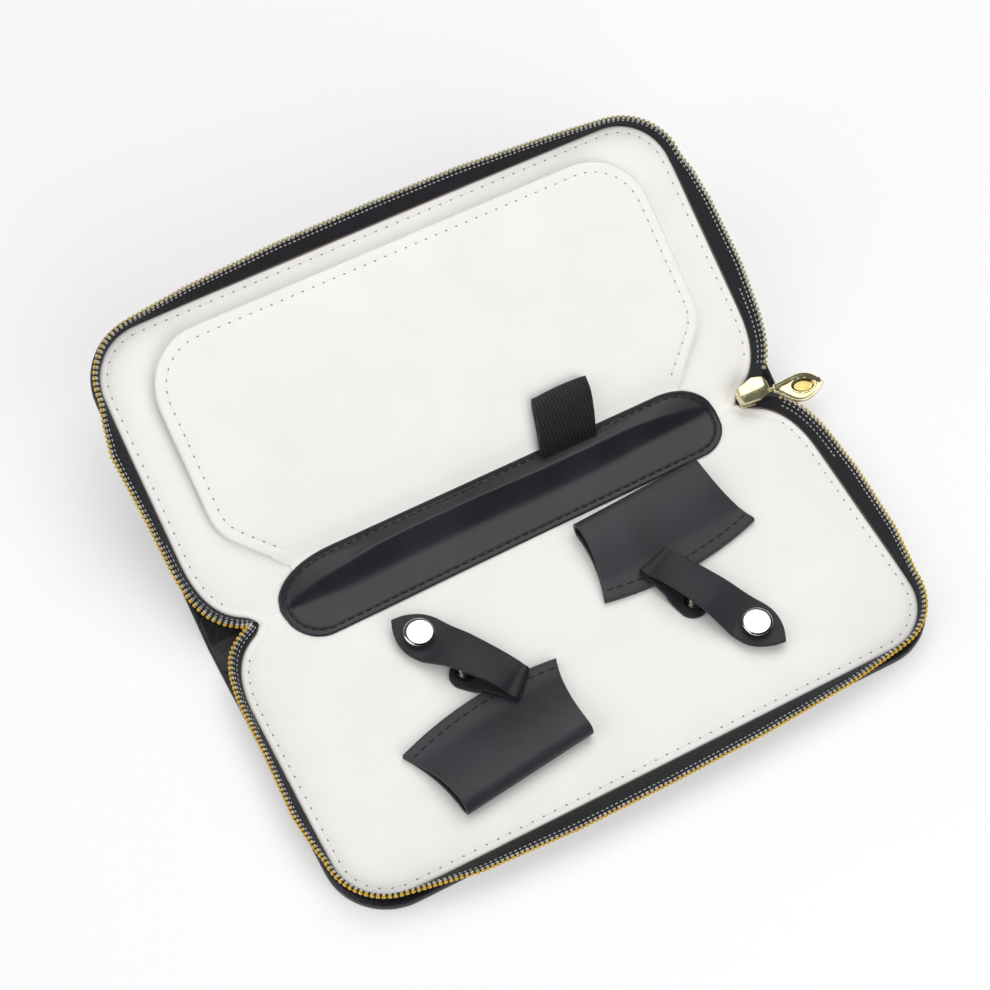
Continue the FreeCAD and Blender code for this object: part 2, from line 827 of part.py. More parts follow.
def build_divider():
    divider_layer("divider_back", "0", "sizes.divider_skin", 0)
    divider_layer("divider_core", "sizes.divider_skin", "sizes.divider_core", size("divider_hem"))
    front_level = "sizes.divider_skin + sizes.divider_core"
    divider_layer("divider_front", front_level, "sizes.divider_skin", 0)


# The pen sleeves: a folded piece of leather, open at both ends and stitched along its flat side


def sleeve_profile():
    # Section in (y, z), from the stitched edge to the fold
    wall = size("leather_thickness")
    seam = size("sleeve_seam")
    height = size("sleeve_height")
    depth = size("sleeve_depth")
    fold = height / 2
    crest = depth - fold
    shoulder = ((seam + crest) / 2 - wall / 2, wall + height * 0.65)
    edge = -size("sleeve_seam_bow")
    outer = [
        segment((edge, 0), (crest, 0)),
        arc((crest, 0), (depth, fold), (crest, height)),
        arc((crest, height), shoulder, (seam, 2 * wall)),
        segment((seam, 2 * wall), (edge, 2 * wall)),
        segment((edge, 2 * wall), (edge, 0)),
    ]
    wedge = (seam + wall, wall)
    inner_shoulder = (shoulder[0] + wall / 2, shoulder[1] - wall)
    inner = [
        segment(wedge, (crest, wall)),
        arc((crest, wall), (depth - wall, fold), (crest, height - wall)),
        arc((crest, height - wall), inner_shoulder, wedge),
    ]
    return outer, inner


def sleeve_ends():
    # What is cut off each open end, along a curve that draws in between the seam and the fold
    seam = size("sleeve_seam_length") / 2
    waist = size("sleeve_waist_length") / 2
    fold = size("sleeve_fold_length") / 2
    depth = size("sleeve_depth")
    outside = seam + CUT_MARGIN
    loops = []
    for sign in (1, -1):
        loops.append(
            [
                arc((sign * seam, 0), (sign * waist, depth / 2), (sign * fold, depth)),
                segment((sign * fold, depth), (sign * outside, depth)),
                segment((sign * outside, depth), (sign * outside, 0)),
                segment((sign * outside, 0), (sign * seam, 0)),
            ]
        )
    return loops


def sleeve_seam_cut():
    # What is cut off the stitched edge, which bows out between its ends
    half = size("sleeve_seam_length") / 2
    bow = size("sleeve_seam_bow")
    outside = -bow - CUT_MARGIN
    return [
        arc((-half, 0), (0, -bow), (half, 0)),
        segment((half, 0), (half, outside)),
        segment((half, outside), (-half, outside)),
        segment((-half, outside), (-half, 0)),
    ]


def pen_sleeve(side):
    body = new_body(f"{side}_pen_sleeve")
    start = "-sizes.sleeve_seam_length / 2"
    pad(body, outline(body, "YZ_Plane", start, *sleeve_profile()), "sizes.sleeve_seam_length")
    cut_upwards(body, outline(body, "XY_Plane", "0", *sleeve_ends()))
    cut_upwards(body, outline(body, "XY_Plane", "0", sleeve_seam_cut()))
    place = Vector(size(f"{side}_sleeve_x"), size(f"{side}_sleeve_y"), LINING_LEVEL)
    turn = Rotation(Z_AXIS, size(f"{side}_sleeve_angle"))
    return keep(body, f"{side}_pen_sleeve", Placement(place, turn))


# The snap straps: a short base on the lining, a fold beside the sleeve's seam and a long tongue

BED = 2 * size("leather_thickness") + size("strap_clearance")
FOLD_RADIUS = size("leather_thickness") + size("strap_fold_gap") / 2
FOLD_LEVEL = BED + FOLD_RADIUS
TONGUE_LEVEL = FOLD_LEVEL + size("strap_fold_gap") / 2
HEAD_LEVEL = size("socket_height") + size("head_clearance")


def strap_base(side):
    body = new_body(f"{side}_strap_base")
    wall = size("leather_thickness")
    gap = size("strap_fold_gap") / 2
    bed = size("strap_bed")
    foot = bed + size("strap_slope")
    end = size("strap_base_length")
    profile = [
        segment((0, BED), (bed, BED)),
        segment((bed, BED), (foot, 0)),
        segment((foot, 0), (end, 0)),
        segment((end, 0), (end, wall)),
        segment((end, wall), (foot, wall)),
        segment((foot, wall), (bed, BED + wall)),
        segment((bed, BED + wall), (0, BED + wall)),
        arc((0, BED + wall), (-gap, FOLD_LEVEL), (0, FOLD_LEVEL + gap)),
        segment((0, FOLD_LEVEL + gap), (0, FOLD_LEVEL + FOLD_RADIUS)),
        arc((0, FOLD_LEVEL + FOLD_RADIUS), (-FOLD_RADIUS, FOLD_LEVEL), (0, BED)),
    ]
    start = "-sizes.strap_root_width / 2"
    pad(body, outline(body, "YZ_Plane", start, profile), "sizes.strap_root_width")
    round_corners(body, lambda p: p.y > end - TINY, "sizes.strap_root_width * 0.45")
    return keep(body, f"{side}_strap_base", strap_placement(side, "base"))


def strap_placement(side, ply):
    place = Vector(size(f"{side}_strap_x"), size(f"{side}_strap_y"), LINING_LEVEL)
    return Placement(place, Rotation(Z_AXIS, size(f"{side}_{ply}_angle")))


def cap_distance(side):
    return size(f"{side}_tongue_length") - size("cap_setback")


def tongue_trim(side):
    # The tongue's outline, widening to a pointed round tip, inside a frame that is cut away
    root = size("strap_root_width") / 2
    head = size("strap_head_width") / 2
    start = size("tongue_start")
    end = size(f"{side}_tongue_length")
    shoulder = cap_distance(side) - size("cap_diameter") / 4
    bulge = (head * 0.76, shoulder + (end - shoulder) * 0.6)
    outline_loop = [
        segment((-root, start), (root, start)),
        segment((root, start), (head, shoulder)),
        arc((head, shoulder), bulge, (0, end)),
        arc((0, end), (-bulge[0], bulge[1]), (-head, shoulder)),
        segment((-head, shoulder), (-root, start)),
    ]
    clear = head + CUT_MARGIN
    beyond = end + CUT_MARGIN
    frame_loop = polygon((-clear, 0), (clear, 0), (clear, beyond), (-clear, beyond))
    return frame_loop, outline_loop


def strap_tongue(side):
    body = new_body(f"{side}_strap_tongue")
    wall = size("leather_thickness")
    drop = size("stud_distance") + size("cap_diameter") / 2
    head = cap_distance(side) - size("cap_diameter") / 2
    start = size("tongue_start") - CUT_MARGIN / 2
    end = size(f"{side}_tongue_length") + CUT_MARGIN / 2
    profile = polygon(
        (start, TONGUE_LEVEL),
        (drop, TONGUE_LEVEL),
        (head, HEAD_LEVEL),
        (end, HEAD_LEVEL),
        (end, HEAD_LEVEL + wall),
        (head, HEAD_LEVEL + wall),
        (drop, TONGUE_LEVEL + wall),
        (start, TONGUE_LEVEL + wall),
    )
    one_side = "-sizes.strap_head_width / 2"
    pad(body, outline(body, "YZ_Plane", one_side, profile), "sizes.strap_head_width")
    cut_upwards(body, outline(body, "XY_Plane", "0", *tongue_trim(side)))
    return keep(body, f"{side}_strap_tongue", strap_placement(side, "tongue"))


def snap_cap(side):
    # A low dome on an upright edge, with a sloping shoulder round a flat crown
    radius = size("cap_diameter") / 2
    height = size("cap_height")
    edge = size("cap_edge")
    shoulder = (edge + 2 * height) / 3
    profile = polygon(
        (0, 0),
        (radius, 0),
        (radius, edge),
        (radius * 2 / 3, shoulder),
        (radius / 3, height),
        (0, height),
    )
    seat = Vector(0, cap_distance(side), HEAD_LEVEL + size("leather_thickness"))
    place = strap_placement(side, "tongue") * Placement(seat, Rotation())
    return turned(f"{side}_snap_cap", profile, place)


def snap_socket(side):
    outer = size("socket_radius")
    bore = size("stud_head_radius") + size("socket_clearance")
    height = size("socket_height")
    profile = polygon((bore, 0), (outer, 0), (outer, height), (bore, height))
    seat = Vector(0, cap_distance(side), HEAD_LEVEL - height)
    place = strap_placement(side, "tongue") * Placement(seat, Rotation())
    return turned(f"{side}_snap_socket", profile, place)


def snap_stud(side):
    # A flange on the base strap, a neck and a wider head
    foot = size("stud_flange_radius")
    flange = size("stud_flange")
    head = size("stud_head_radius")
    neck = size("stud_neck_radius")
    height = size("stud_height")
    bulge_level = (flange + 2 * height) / 3
    profile = polygon(
        (0, 0),
        (foot, 0),
        (foot, flange),
        (neck, flange),
        (head, bulge_level),
        (neck, height),
        (0, height),
    )
    seat = Vector(0, size("stud_distance"), size("leather_thickness"))
    place = strap_placement(side, "base") * Placement(seat, Rotation())
    return turned(f"{side}_snap_stud", profile, place)


build_leaf("lower", LOWER)
build_leaf("upper", UPPER)
build_spine()
pen_loop()
zip_ends()
zip_slider()
slider_bail()
pull_tab()
build_divider()
for side in ("left", "right"):
    pen_sleeve(side)
    strap_base(side)
    snap_stud(side)
    strap_tongue(side)
    snap_cap(side)
    snap_socket(side)

doc.recompute()
for item in doc.Objects:
    if "Invalid" in item.State or "Error" in item.State:
        raise RuntimeError(f"{item.Name} failed: {item.State}")
os.makedirs("parts", exist_ok=True)
for part in parts:
    if part.Shape.isNull() or not part.Shape.isValid():
        raise RuntimeError(f"{part.Label}: bad shape")
    part.Shape.exportStep(f"parts/{part.Label}.step")
    print(part.Label, len(part.Shape.Solids), round(part.Shape.Volume, 1))
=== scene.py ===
# %% [markdown]
# # A fountain pen case, lying open
# The case is two stiff leaves joined by a bent spine, lined in cream leather and edged with a gold zip.
# The frame brings in the hard construction, already in its place. This file makes the pieces that
# the eye sees: leather, cloth, thread and metal, each riding on the part of the frame it belongs to.

import math

import bpy
import numpy as np
from mathutils import Matrix, Vector
from mathutils.bvhtree import BVHTree
from mathutils.geometry import delaunay_2d_cdt


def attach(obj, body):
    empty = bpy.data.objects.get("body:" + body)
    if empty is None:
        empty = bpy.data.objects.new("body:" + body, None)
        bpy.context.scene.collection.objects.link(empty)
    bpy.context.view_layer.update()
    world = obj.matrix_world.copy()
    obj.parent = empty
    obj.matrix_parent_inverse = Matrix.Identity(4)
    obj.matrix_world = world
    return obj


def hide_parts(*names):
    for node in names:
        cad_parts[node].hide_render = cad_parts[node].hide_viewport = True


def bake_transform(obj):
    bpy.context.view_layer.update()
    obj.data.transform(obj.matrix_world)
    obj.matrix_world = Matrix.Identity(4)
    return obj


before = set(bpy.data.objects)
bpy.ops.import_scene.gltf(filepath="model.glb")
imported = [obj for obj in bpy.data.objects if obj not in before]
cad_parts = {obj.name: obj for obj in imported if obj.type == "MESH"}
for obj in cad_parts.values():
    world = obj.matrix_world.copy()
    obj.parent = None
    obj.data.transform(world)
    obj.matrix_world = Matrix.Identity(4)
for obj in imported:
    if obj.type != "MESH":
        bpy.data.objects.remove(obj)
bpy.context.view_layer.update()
print("frame nodes:", len(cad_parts))

# %% [markdown]
# ## Places on the case
# Every size below is in millimetres. Each half of the case is one flat sheet: a leaf and its half of
# the spine. A point on it is given by x along the spine, v away from the crease and w above the
# hinge line. The two sheets meet in a soft bend, so near the bend the point runs along a small arc.
# Bones with weights could bend a flat model too, but a formula puts every point where it belongs.

# %% Turn leaf places into room places
MM = 0.001
HALF_FOLD = math.radians(13.75)
HALF_SPINE = 12.5
BEND_RADIUS = 6.4
LINING_TOP = 4.0
SPINE_PLACE = (0, 55.65, 0.6)
MIDDLE = Matrix.Translation(SPINE_PLACE) @ Matrix.Rotation(HALF_FOLD, 4, "X")


def on_half(side, x, v, w):
    u = max(v + HALF_SPINE, 0.0)
    turn_end = BEND_RADIUS * math.tan(HALF_FOLD)
    if u >= turn_end or w > BEND_RADIUS - 0.5:
        along = u * math.cos(HALF_FOLD) - w * math.sin(HALF_FOLD)
        above = u * math.sin(HALF_FOLD) + w * math.cos(HALF_FOLD)
    else:
        turn = HALF_FOLD * u / turn_end
        along = (BEND_RADIUS - w) * math.sin(turn)
        above = BEND_RADIUS / math.cos(HALF_FOLD) - (BEND_RADIUS - w) * math.cos(turn)
    along = max(along, 0.0)
    return MIDDLE @ Vector((x, along if side == "upper" else -along, above))


print("middle of the spine:", [round(c, 2) for c in MIDDLE.translation])

# %% [markdown]
# ## Outlines
# Leather is cut flat and then sewn, so most pieces start as a flat outline with rounded corners. A curve
# object could hold it, but a plain list of points is easier to move inwards for a seam.

# %% Draw an outline


def resample(points, step, closed=True):
    p = np.array(points, float)
    if closed:
        p = np.vstack([p, p[:1]])
    s = np.concatenate([[0], np.cumsum(np.linalg.norm(np.diff(p, axis=0), axis=1))])
    count = max(int(round(s[-1] / step)), 8)
    t = np.linspace(0, s[-1], count + 1)
    if closed:
        t = t[:-1]
    return np.stack([np.interp(t, s, p[:, k]) for k in range(p.shape[1])], 1)


def rounded(corners, radii, step):
    """A polygon, anticlockwise, with each corner rounded to its own radius."""
    points = []
    count = len(corners)
    for i, radius in enumerate(radii):
        before, here, after = (np.array(corners[(i + k) % count], float) for k in (-1, 0, 1))
        if radius <= 0:
            points.append(here)
            continue
        a = (before - here) / np.linalg.norm(before - here)
        b = (after - here) / np.linalg.norm(after - here)
        half = math.acos(np.clip(a @ b, -1, 1)) / 2
        centre = here + (a + b) / np.linalg.norm(a + b) * radius / math.sin(half)
        start, end = here + a * radius / math.tan(half), here + b * radius / math.tan(half)
        first = math.atan2(*(start - centre)[::-1])
        sweep = (math.atan2(*(end - centre)[::-1]) - first + math.pi) % (2 * math.pi) - math.pi
        for t in first + sweep * np.linspace(0, 1, 14):
            points.append(centre + radius * np.array([math.cos(t), math.sin(t)]))
    return resample(points, step)


def inset(loop, distance):
    ahead = np.roll(loop, -1, 0) - np.roll(loop, 1, 0)
    inward = np.stack([-ahead[:, 1], ahead[:, 0]], 1) / np.linalg.norm(ahead, axis=1)[:, None]
    return loop + inward * distance


SAMPLE = rounded([(0, 0), (10, 0), (10, 10), (0, 10)], [2, 2, 2, 2], 1.0)
print("a sample of leather, 10 mm square:", len(SAMPLE), "points round it")

# %% [markdown]
# ## Filled outlines
# The outline is filled with small triangles, with closer rows beside the edge so that the edge can roll
# over softly. Blender's fill operator would span it with long thin triangles, and those can't bend, so
# points are set out inside first.

# %% Fill an outline


def edge_distance(points, line, closed=True):
    a, b = line, np.roll(line, -1, 0)
    if not closed:
        a, b = line[:-1], line[1:]
    best = np.full(len(points), 1e9)
    for start, step in zip(a, b - a):
        t = np.clip(((points - start) @ step) / (step @ step), 0, 1)
        best = np.minimum(best, np.linalg.norm(points - start - t[:, None] * step, axis=1))
    return best


def is_inside(points, loop):
    a, b = loop, np.roll(loop, -1, 0)
    x, y = points[:, 0], points[:, 1]
    count = np.zeros(len(points), int)
    for (ax, ay), (bx, by) in zip(a, b):
        crosses = (ay > y) != (by > y)
        with np.errstate(divide="ignore", invalid="ignore"):
            count += crosses & (x < (bx - ax) * (y - ay) / (by - ay) + ax)
    return count % 2 == 1


def fill(loop, spacing, rings, hole=None):
    points = [loop]
    for distance in rings:
        ring = inset(loop, distance)
        points.append(ring[(edge_distance(ring, loop) > 0.93 * distance) & is_inside(ring, loop)])
    low, high = loop.min(0), loop.max(0)
    xs = np.arange(low[0] + spacing / 2, high[0], spacing)
    ys = np.arange(low[1] + spacing / 2, high[1], spacing)
    grid = np.array([(x + (spacing / 2 if k % 2 else 0), y) for k, y in enumerate(ys) for x in xs])
    grid = grid[is_inside(grid, loop)]
    grid = grid[edge_distance(grid, loop) > (rings[-1] if rings else 0) + 0.55 * spacing]
    points = np.vstack(points + [grid])
    edges = [(i, (i + 1) % len(loop)) for i in range(len(loop))]
    if hole is not None:
        points = points[~is_inside(points, hole)]
        first = len(points)
        edges += [(first + i, first + (i + 1) % len(hole)) for i in range(len(hole))]
        points = np.vstack([points, hole])
    found = delaunay_2d_cdt([Vector(p) for p in points], edges, [], 1, 1e-5)
    flat = np.array([tuple(p) for p in found[0]])
    faces = [list(f) for f in found[2]]
    if hole is not None:
        middles = np.array([flat[f].mean(0) for f in faces])
        faces = [f for f, inside in zip(faces, is_inside(middles, hole)) if not inside]
    return flat, faces


print("the sample filled:", len(fill(SAMPLE, 1.0, [0.4])[1]), "triangles")

# %% [markdown]
# ## Sheets with a thickness
# The same pattern makes the top and the underside, and a wall joins them. A Solidify modifier would give
# a sheet one even thickness, but padding and rolled edges need a height of their own on each side.

# %% Make a closed sheet


def new_object(name, points, faces):
    mesh = bpy.data.meshes.new(name)
    mesh.from_pydata([tuple(Vector(p) * MM) for p in points], [], faces)
    piece = bpy.data.objects.new(name, mesh)
    bpy.context.scene.collection.objects.link(piece)
    return piece


def only(*pieces):
    bpy.ops.object.select_all(action="DESELECT")
    for piece in pieces:
        piece.select_set(True)
    bpy.context.view_layer.objects.active = pieces[0]


def tidy_mesh(piece, angle=40):
    only(piece)
    bpy.ops.object.mode_set(mode="EDIT")
    bpy.ops.mesh.select_all(action="SELECT")
    bpy.ops.mesh.normals_make_consistent(inside=False)
    bpy.ops.object.mode_set(mode="OBJECT")
    bpy.ops.object.shade_smooth_by_angle(angle=math.radians(angle))
    return piece


def slab(name, loop, spacing, rings, top, bottom, place, angle=40, edge=None, pattern=None, hole=None):
    """A closed piece: top and bottom give the heights at (x, y, distance from the edge)."""
    flat, faces = pattern or fill(loop, spacing, rings, hole)
    depth = edge_distance(flat, loop) if edge is None else edge_distance(flat, edge, closed=False)
    upper = [place(x, y, top(x, y, d)) for (x, y), d in zip(flat, depth)]
    lower = [place(x, y, bottom(x, y, d)) for (x, y), d in zip(flat, depth)]
    count = len(flat)
    uses = {}
    for face in faces:
        for a, b in zip(face, face[1:] + face[:1]):
            uses[(a, b)] = True
    walls = [[a, a + count, b + count, b] for a, b in uses if (b, a) not in uses]
    under = [[i + count for i in reversed(face)] for face in faces]
    return tidy_mesh(new_object(name, upper + lower, faces + under + walls), angle)


def roll(distance, radius):
    """How far a rounded edge has dropped at a distance from the rim."""
    if distance >= radius:
        return 0.0
    return radius - math.sqrt(max(radius**2 - (radius - distance) ** 2, 0))


def ease(value, start, end):
    t = min(max((value - start) / (end - start), 0.0), 1.0)
    return t * t * (3 - 2 * t)


print("an edge rolled to 1 mm has dropped", round(roll(0.5, 1.0), 2), "mm halfway in")

# %% [markdown]
# ## Looks
# Each material starts from the real stuff. Colours are written as the eye reads them and turned into
# light values by one function. Patterns are sized in millimetres: a grain of leather is about a
# millimetre, a rib of tape half of that. Nodes could be wired by hand, but one small function that adds
# a node with its settings and links says the same in a line.

# %% Material helpers


def colour(code):
    parts = [int(code[i : i + 2], 16) / 255 for i in (1, 3, 5)]
    return [c / 12.92 if c <= 0.04045 else ((c + 0.055) / 1.055) ** 2.4 for c in parts] + [1.0]


def add(tree, kind, sockets=None, links=None, stops=(), **settings):
    """A node with its settings, its links and, on a colour ramp, its stops."""
    node = tree.nodes.new(kind)
    for name, value in settings.items():
        setattr(node, name, value)
    for name, value in (sockets or {}).items():
        node.inputs[name].default_value = value
    for name, source in (links or {}).items():
        tree.links.new(source, node.inputs[name])
    for k, (position, code) in enumerate(stops):
        node.color_ramp.elements[k].position = position
        node.color_ramp.elements[k].color = colour(code)
    return node


def new_material(name):
    material = bpy.data.materials.new(name)
    material.use_nodes = True
    tree = material.node_tree
    return material, tree, tree.nodes["Principled BSDF"]


def paint(piece, *materials):
    piece.data.materials.clear()
    for material in materials:
        piece.data.materials.append(material)
    return piece


print("white as a light value:", colour("#FFFFFF"))

# %% [markdown]
# ## Leather
# Leather has small cells pressed into its skin, finer pores between them and a slow change of tone. A
# picture of leather would stretch at the folds, while a pattern that fills space keeps its size.

# %% Finish the leathers

# Where a soft change between two tones starts and ends
SOFT = (0.35, 0.65)
# One cloud of tone is about 22 mm across
CLOUDS_PER_MM = 0.045


def leather(name, dark, light, grain_mm, depth_mm, rough):
    """Grained leather: small cells pressed into the surface and a slow change of tone."""
    material, tree, surface = new_material(name)
    place = add(tree, "ShaderNodeTexCoord").outputs["Object"]
    cells = add(tree, "ShaderNodeTexVoronoi", {"Scale": 1 / (grain_mm * MM)}, {"Vector": place},
                feature="SMOOTH_F1")
    pores = add(tree, "ShaderNodeTexNoise", {"Scale": 2.6 / (grain_mm * MM), "Detail": 4.0},
                {"Vector": place})
    slow = add(tree, "ShaderNodeTexNoise", {"Scale": CLOUDS_PER_MM / MM, "Detail": 5.0}, {"Vector": place})
    tone = add(tree, "ShaderNodeValToRGB", links={"Fac": slow.outputs["Fac"]},
               stops=zip(SOFT, (dark, light)))
    tree.links.new(tone.outputs["Color"], surface.inputs["Base Color"])
    first = add(tree, "ShaderNodeBump", {"Strength": 0.5, "Distance": depth_mm * MM},
                {"Height": cells.outputs["Distance"]})
    second = add(tree, "ShaderNodeBump", {"Strength": 0.35, "Distance": depth_mm * MM * 0.5},
                 {"Height": pores.outputs["Fac"], "Normal": first.outputs["Normal"]})
    tree.links.new(second.outputs["Normal"], surface.inputs["Normal"])
    rougher = add(tree, "ShaderNodeMapRange", {"To Min": rough - 0.06, "To Max": rough + 0.1},
                  {"Value": pores.outputs["Fac"]})
    tree.links.new(rougher.outputs["Result"], surface.inputs["Roughness"])
    return material


# Smooth cream leather, nearly white, with a fine grain that only shows at a slant
CREAM = leather("cream_leather", "#F8F7F2", "#FCFBF7", 0.7, 0.03, 0.52)
# Black leather of the outside, with a clear pebble that catches small lights
OUTER = leather("outer_leather", "#17171A", "#1F1F22", 1.3, 0.3, 0.42)
# Charcoal leather of the sleeves and straps, matt and dry
CHARCOAL = leather("charcoal_leather", "#28282D", "#333339", 0.6, 0.1, 0.5)
# The straps' leather is the same, a little drier, and painted darker as painted shade
STRAP_SHADED = leather("strap_leather_painted_shade", "#212126", "#2A2A30", 0.6, 0.1, 0.56)
# Satin black leather of the strip, which shows long soft highlights
SATIN = leather("satin_leather", "#1E1E23", "#27272D", 0.5, 0.045, 0.4)
print("leathers:", [m.name for m in (CREAM, OUTER, CHARCOAL, STRAP_SHADED, SATIN)])

# %% [markdown]
# ## Cloth
# The zip's tape and the elastic are woven, so they have ribs. Modelled ribs would take thousands of faces
# on each band, and the ribs are only half a millimetre to a millimetre wide, so a bump draws them.

# %% Finish the cloths


def ribbed_cloth(name, dark, light, rib_mm, depth_mm, rough, uv=False):
    """Woven cloth: straight ribs one thread wide, crossed by a fainter, finer row."""
    material, tree, surface = new_material(name)
    source = add(tree, "ShaderNodeTexCoord").outputs["UV" if uv else "Object"]
    unit = 1.0 if uv else MM
    ribs = add(tree, "ShaderNodeTexWave", {"Scale": 0.314 / (rib_mm * unit), "Distortion": 0.3},
               {"Vector": source}, bands_direction="X")
    cross = add(tree, "ShaderNodeTexWave", {"Scale": 0.5 / (rib_mm * unit), "Distortion": 0.6},
                {"Vector": source}, bands_direction="Y")
    tone = add(tree, "ShaderNodeValToRGB", links={"Fac": ribs.outputs["Fac"]},
               stops=[(0.1, dark), (0.9, light)])
    tree.links.new(tone.outputs["Color"], surface.inputs["Base Color"])
    one = add(tree, "ShaderNodeBump", {"Strength": 0.8, "Distance": depth_mm * MM},
              {"Height": ribs.outputs["Fac"]})
    two = add(tree, "ShaderNodeBump", {"Strength": 0.35, "Distance": depth_mm * MM * 0.5},
              {"Height": cross.outputs["Fac"], "Normal": one.outputs["Normal"]})
    tree.links.new(two.outputs["Normal"], surface.inputs["Normal"])
    surface.inputs["Roughness"].default_value = rough
    return material


# Black zip tape, a twill with fine ribs across its length
TAPE = ribbed_cloth("zip_tape_cloth", "#16171C", "#24252C", 0.5, 0.08, 0.75, uv=True)
# Black elastic, with ribs that run from the strip to the fold
ELASTIC = ribbed_cloth("elastic_cloth", "#121214", "#28282C", 1.1, 0.25, 0.6)
print("cloths:", [m.name for m in (TAPE, ELASTIC)])

# %% [markdown]
# ## Metal
# The gold is a thin plating and the teeth are lacquered. Real plating is never quite even, so the tone
# drifts a little and the gloss has fine rubbing marks. One flat colour would look like plastic.

# %% Finish the metals

# A cloud of tone on metal is about 3 mm across, and a spot along the edge of the painted light 2 mm
MARKS_PER_MM = 0.3
SPOT = 2.0


def metal(name, dark, light, rough, scratch_mm, metallic=1.0):
    """Plated metal: bright, with a faint change of tone and fine rubbing marks."""
    material, tree, surface = new_material(name)
    place = add(tree, "ShaderNodeTexCoord").outputs["Object"]
    cloud = add(tree, "ShaderNodeTexNoise", {"Scale": MARKS_PER_MM / MM, "Detail": 3.0}, {"Vector": place})
    rub = add(tree, "ShaderNodeTexNoise", {"Scale": 1 / (scratch_mm * MM), "Detail": 2.0},
              {"Vector": place})
    tone = add(tree, "ShaderNodeValToRGB", links={"Fac": cloud.outputs["Fac"]},
               stops=zip(SOFT, (dark, light)))
    tree.links.new(tone.outputs["Color"], surface.inputs["Base Color"])
    surface.inputs["Metallic"].default_value = metallic
    wear = add(tree, "ShaderNodeMapRange", {"To Min": rough * 0.8, "To Max": rough * 1.3},
               {"Value": rub.outputs["Fac"]})
    tree.links.new(wear.outputs["Result"], surface.inputs["Roughness"])
    return material


def painted_light_gold(name, painted_pale, rich, rough, metallic):
    """Gold lacquer painted paler towards the far right of the case as painted light, with small spots along
    the edge of the paler part.
    """
    material, tree, surface = new_material(name)
    place = add(tree, "ShaderNodeTexCoord").outputs["Object"]
    along = add(tree, "ShaderNodeVectorMath", {1: (-0.5, -0.85, 0.0)}, {0: place}, operation="DOT_PRODUCT")
    spots = add(tree, "ShaderNodeTexNoise", {"Scale": 1 / (SPOT * MM), "Detail": 2.0}, {"Vector": place})
    spread_out = add(tree, "ShaderNodeMapRange", {"To Min": -0.02, "To Max": 0.02},
                     {"Value": spots.outputs["Fac"]})
    where = add(tree, "ShaderNodeMath", links={0: along.outputs["Value"], 1: spread_out.outputs["Result"]},
                operation="ADD")
    part = add(tree, "ShaderNodeMapRange", {"From Min": -0.115, "From Max": -0.035},
               {"Value": where.outputs["Value"]})
    tone = add(tree, "ShaderNodeValToRGB", links={"Fac": part.outputs["Result"]},
               stops=[(0.0, painted_pale), (1.0, rich)])
    tree.links.new(tone.outputs["Color"], surface.inputs["Base Color"])
    surface.inputs["Metallic"].default_value = metallic
    surface.inputs["Roughness"].default_value = rough
    return material


# Pale gold plating of the slider and its tab
GOLD = metal("pale_gold", "#DCCF9C", "#EEE5C2", 0.2, 0.4, 0.85)
# Duller gold in the hollow of the pull tab
DISH_GOLD = metal("dish_gold", "#C9B46A", "#D9C88A", 0.3, 0.4)
# Lacquered gold of the teeth: the lacquer is half matt, so the teeth stay light on their shaded sides
# The inner legs take a greyed copy of the tooth gold: painted shade.
TOOTH_SHADE_GREY = metal("tooth_gold_painted_shade", "#B5B19E", "#D6D2C0", 0.34, 0.4, 0.5)
# The tooth gold is painted paler towards the far right of the case: painted light.
TOOTH_GOLD = painted_light_gold("tooth_gold_painted_light", "#C9C096", "#E6BC42", 0.3, 0.55)
# Bright chrome of the snap caps
CHROME = metal("chrome", "#E2E2E3", "#F2F2F3", 0.07, 0.4)
# Duller nickel of the snaps' inner halves
NICKEL = metal("nickel", "#A9A69F", "#C6C3BC", 0.24, 0.3)
print("metals:", [m.name for m in (GOLD, DISH_GOLD, TOOTH_SHADE_GREY, TOOTH_GOLD, CHROME, NICKEL)])

# %% [markdown]
# ## Thread, needle holes and edge paint
# Sewing thread is a twist of fine strands. They are far too fine to model, and still too fine to show, so
# they are drawn a quarter of a millimetre wide. Holes and edge paint take the same dry finish.

# %% Finish the threads

STRAND = 0.25


def thread(name, dark, light, rough=0.7):
    """Sewing thread: a twist of fine strands."""
    material, tree, surface = new_material(name)
    place = add(tree, "ShaderNodeTexCoord").outputs["Object"]
    strands = add(tree, "ShaderNodeTexNoise", {"Scale": 1 / (STRAND * MM), "Detail": 2.0}, {"Vector": place})
    tone = add(tree, "ShaderNodeValToRGB", links={"Fac": strands.outputs["Fac"]},
               stops=zip(SOFT, (dark, light)))
    tree.links.new(tone.outputs["Color"], surface.inputs["Base Color"])
    bump = add(tree, "ShaderNodeBump", {"Strength": 0.4, "Distance": 0.1 * MM},
               {"Height": strands.outputs["Fac"]})
    tree.links.new(bump.outputs["Normal"], surface.inputs["Normal"])
    surface.inputs["Roughness"].default_value = rough
    return material


# White sewing thread of the tape, greyed by its own shadow
WHITE_THREAD = thread("white_thread", "#A6A6A6", "#D2D2D0")
# Cream thread that hardly shows on the lining
CREAM_THREAD = thread("cream_thread", "#E6E4DB", "#F7F5EE")
# Waxed black thread, a little shinier than the leather
BLACK_THREAD = thread("black_thread", "#0B0B0D", "#18181B", 0.5)
# The soft grey of a needle hole in pale leather: painted shade of the hole
HOLE_SHADE = thread("needle_hole_shade", "#77716A", "#9C968D", 0.9)
# Edge paint along the lining, a dull red-brown line
EDGE_PAINT = thread("edge_paint", "#6F5C58", "#8C7A75", 0.6)
print("threads:", [m.name for m in (WHITE_THREAD, CREAM_THREAD, BLACK_THREAD, HOLE_SHADE, EDGE_PAINT)])

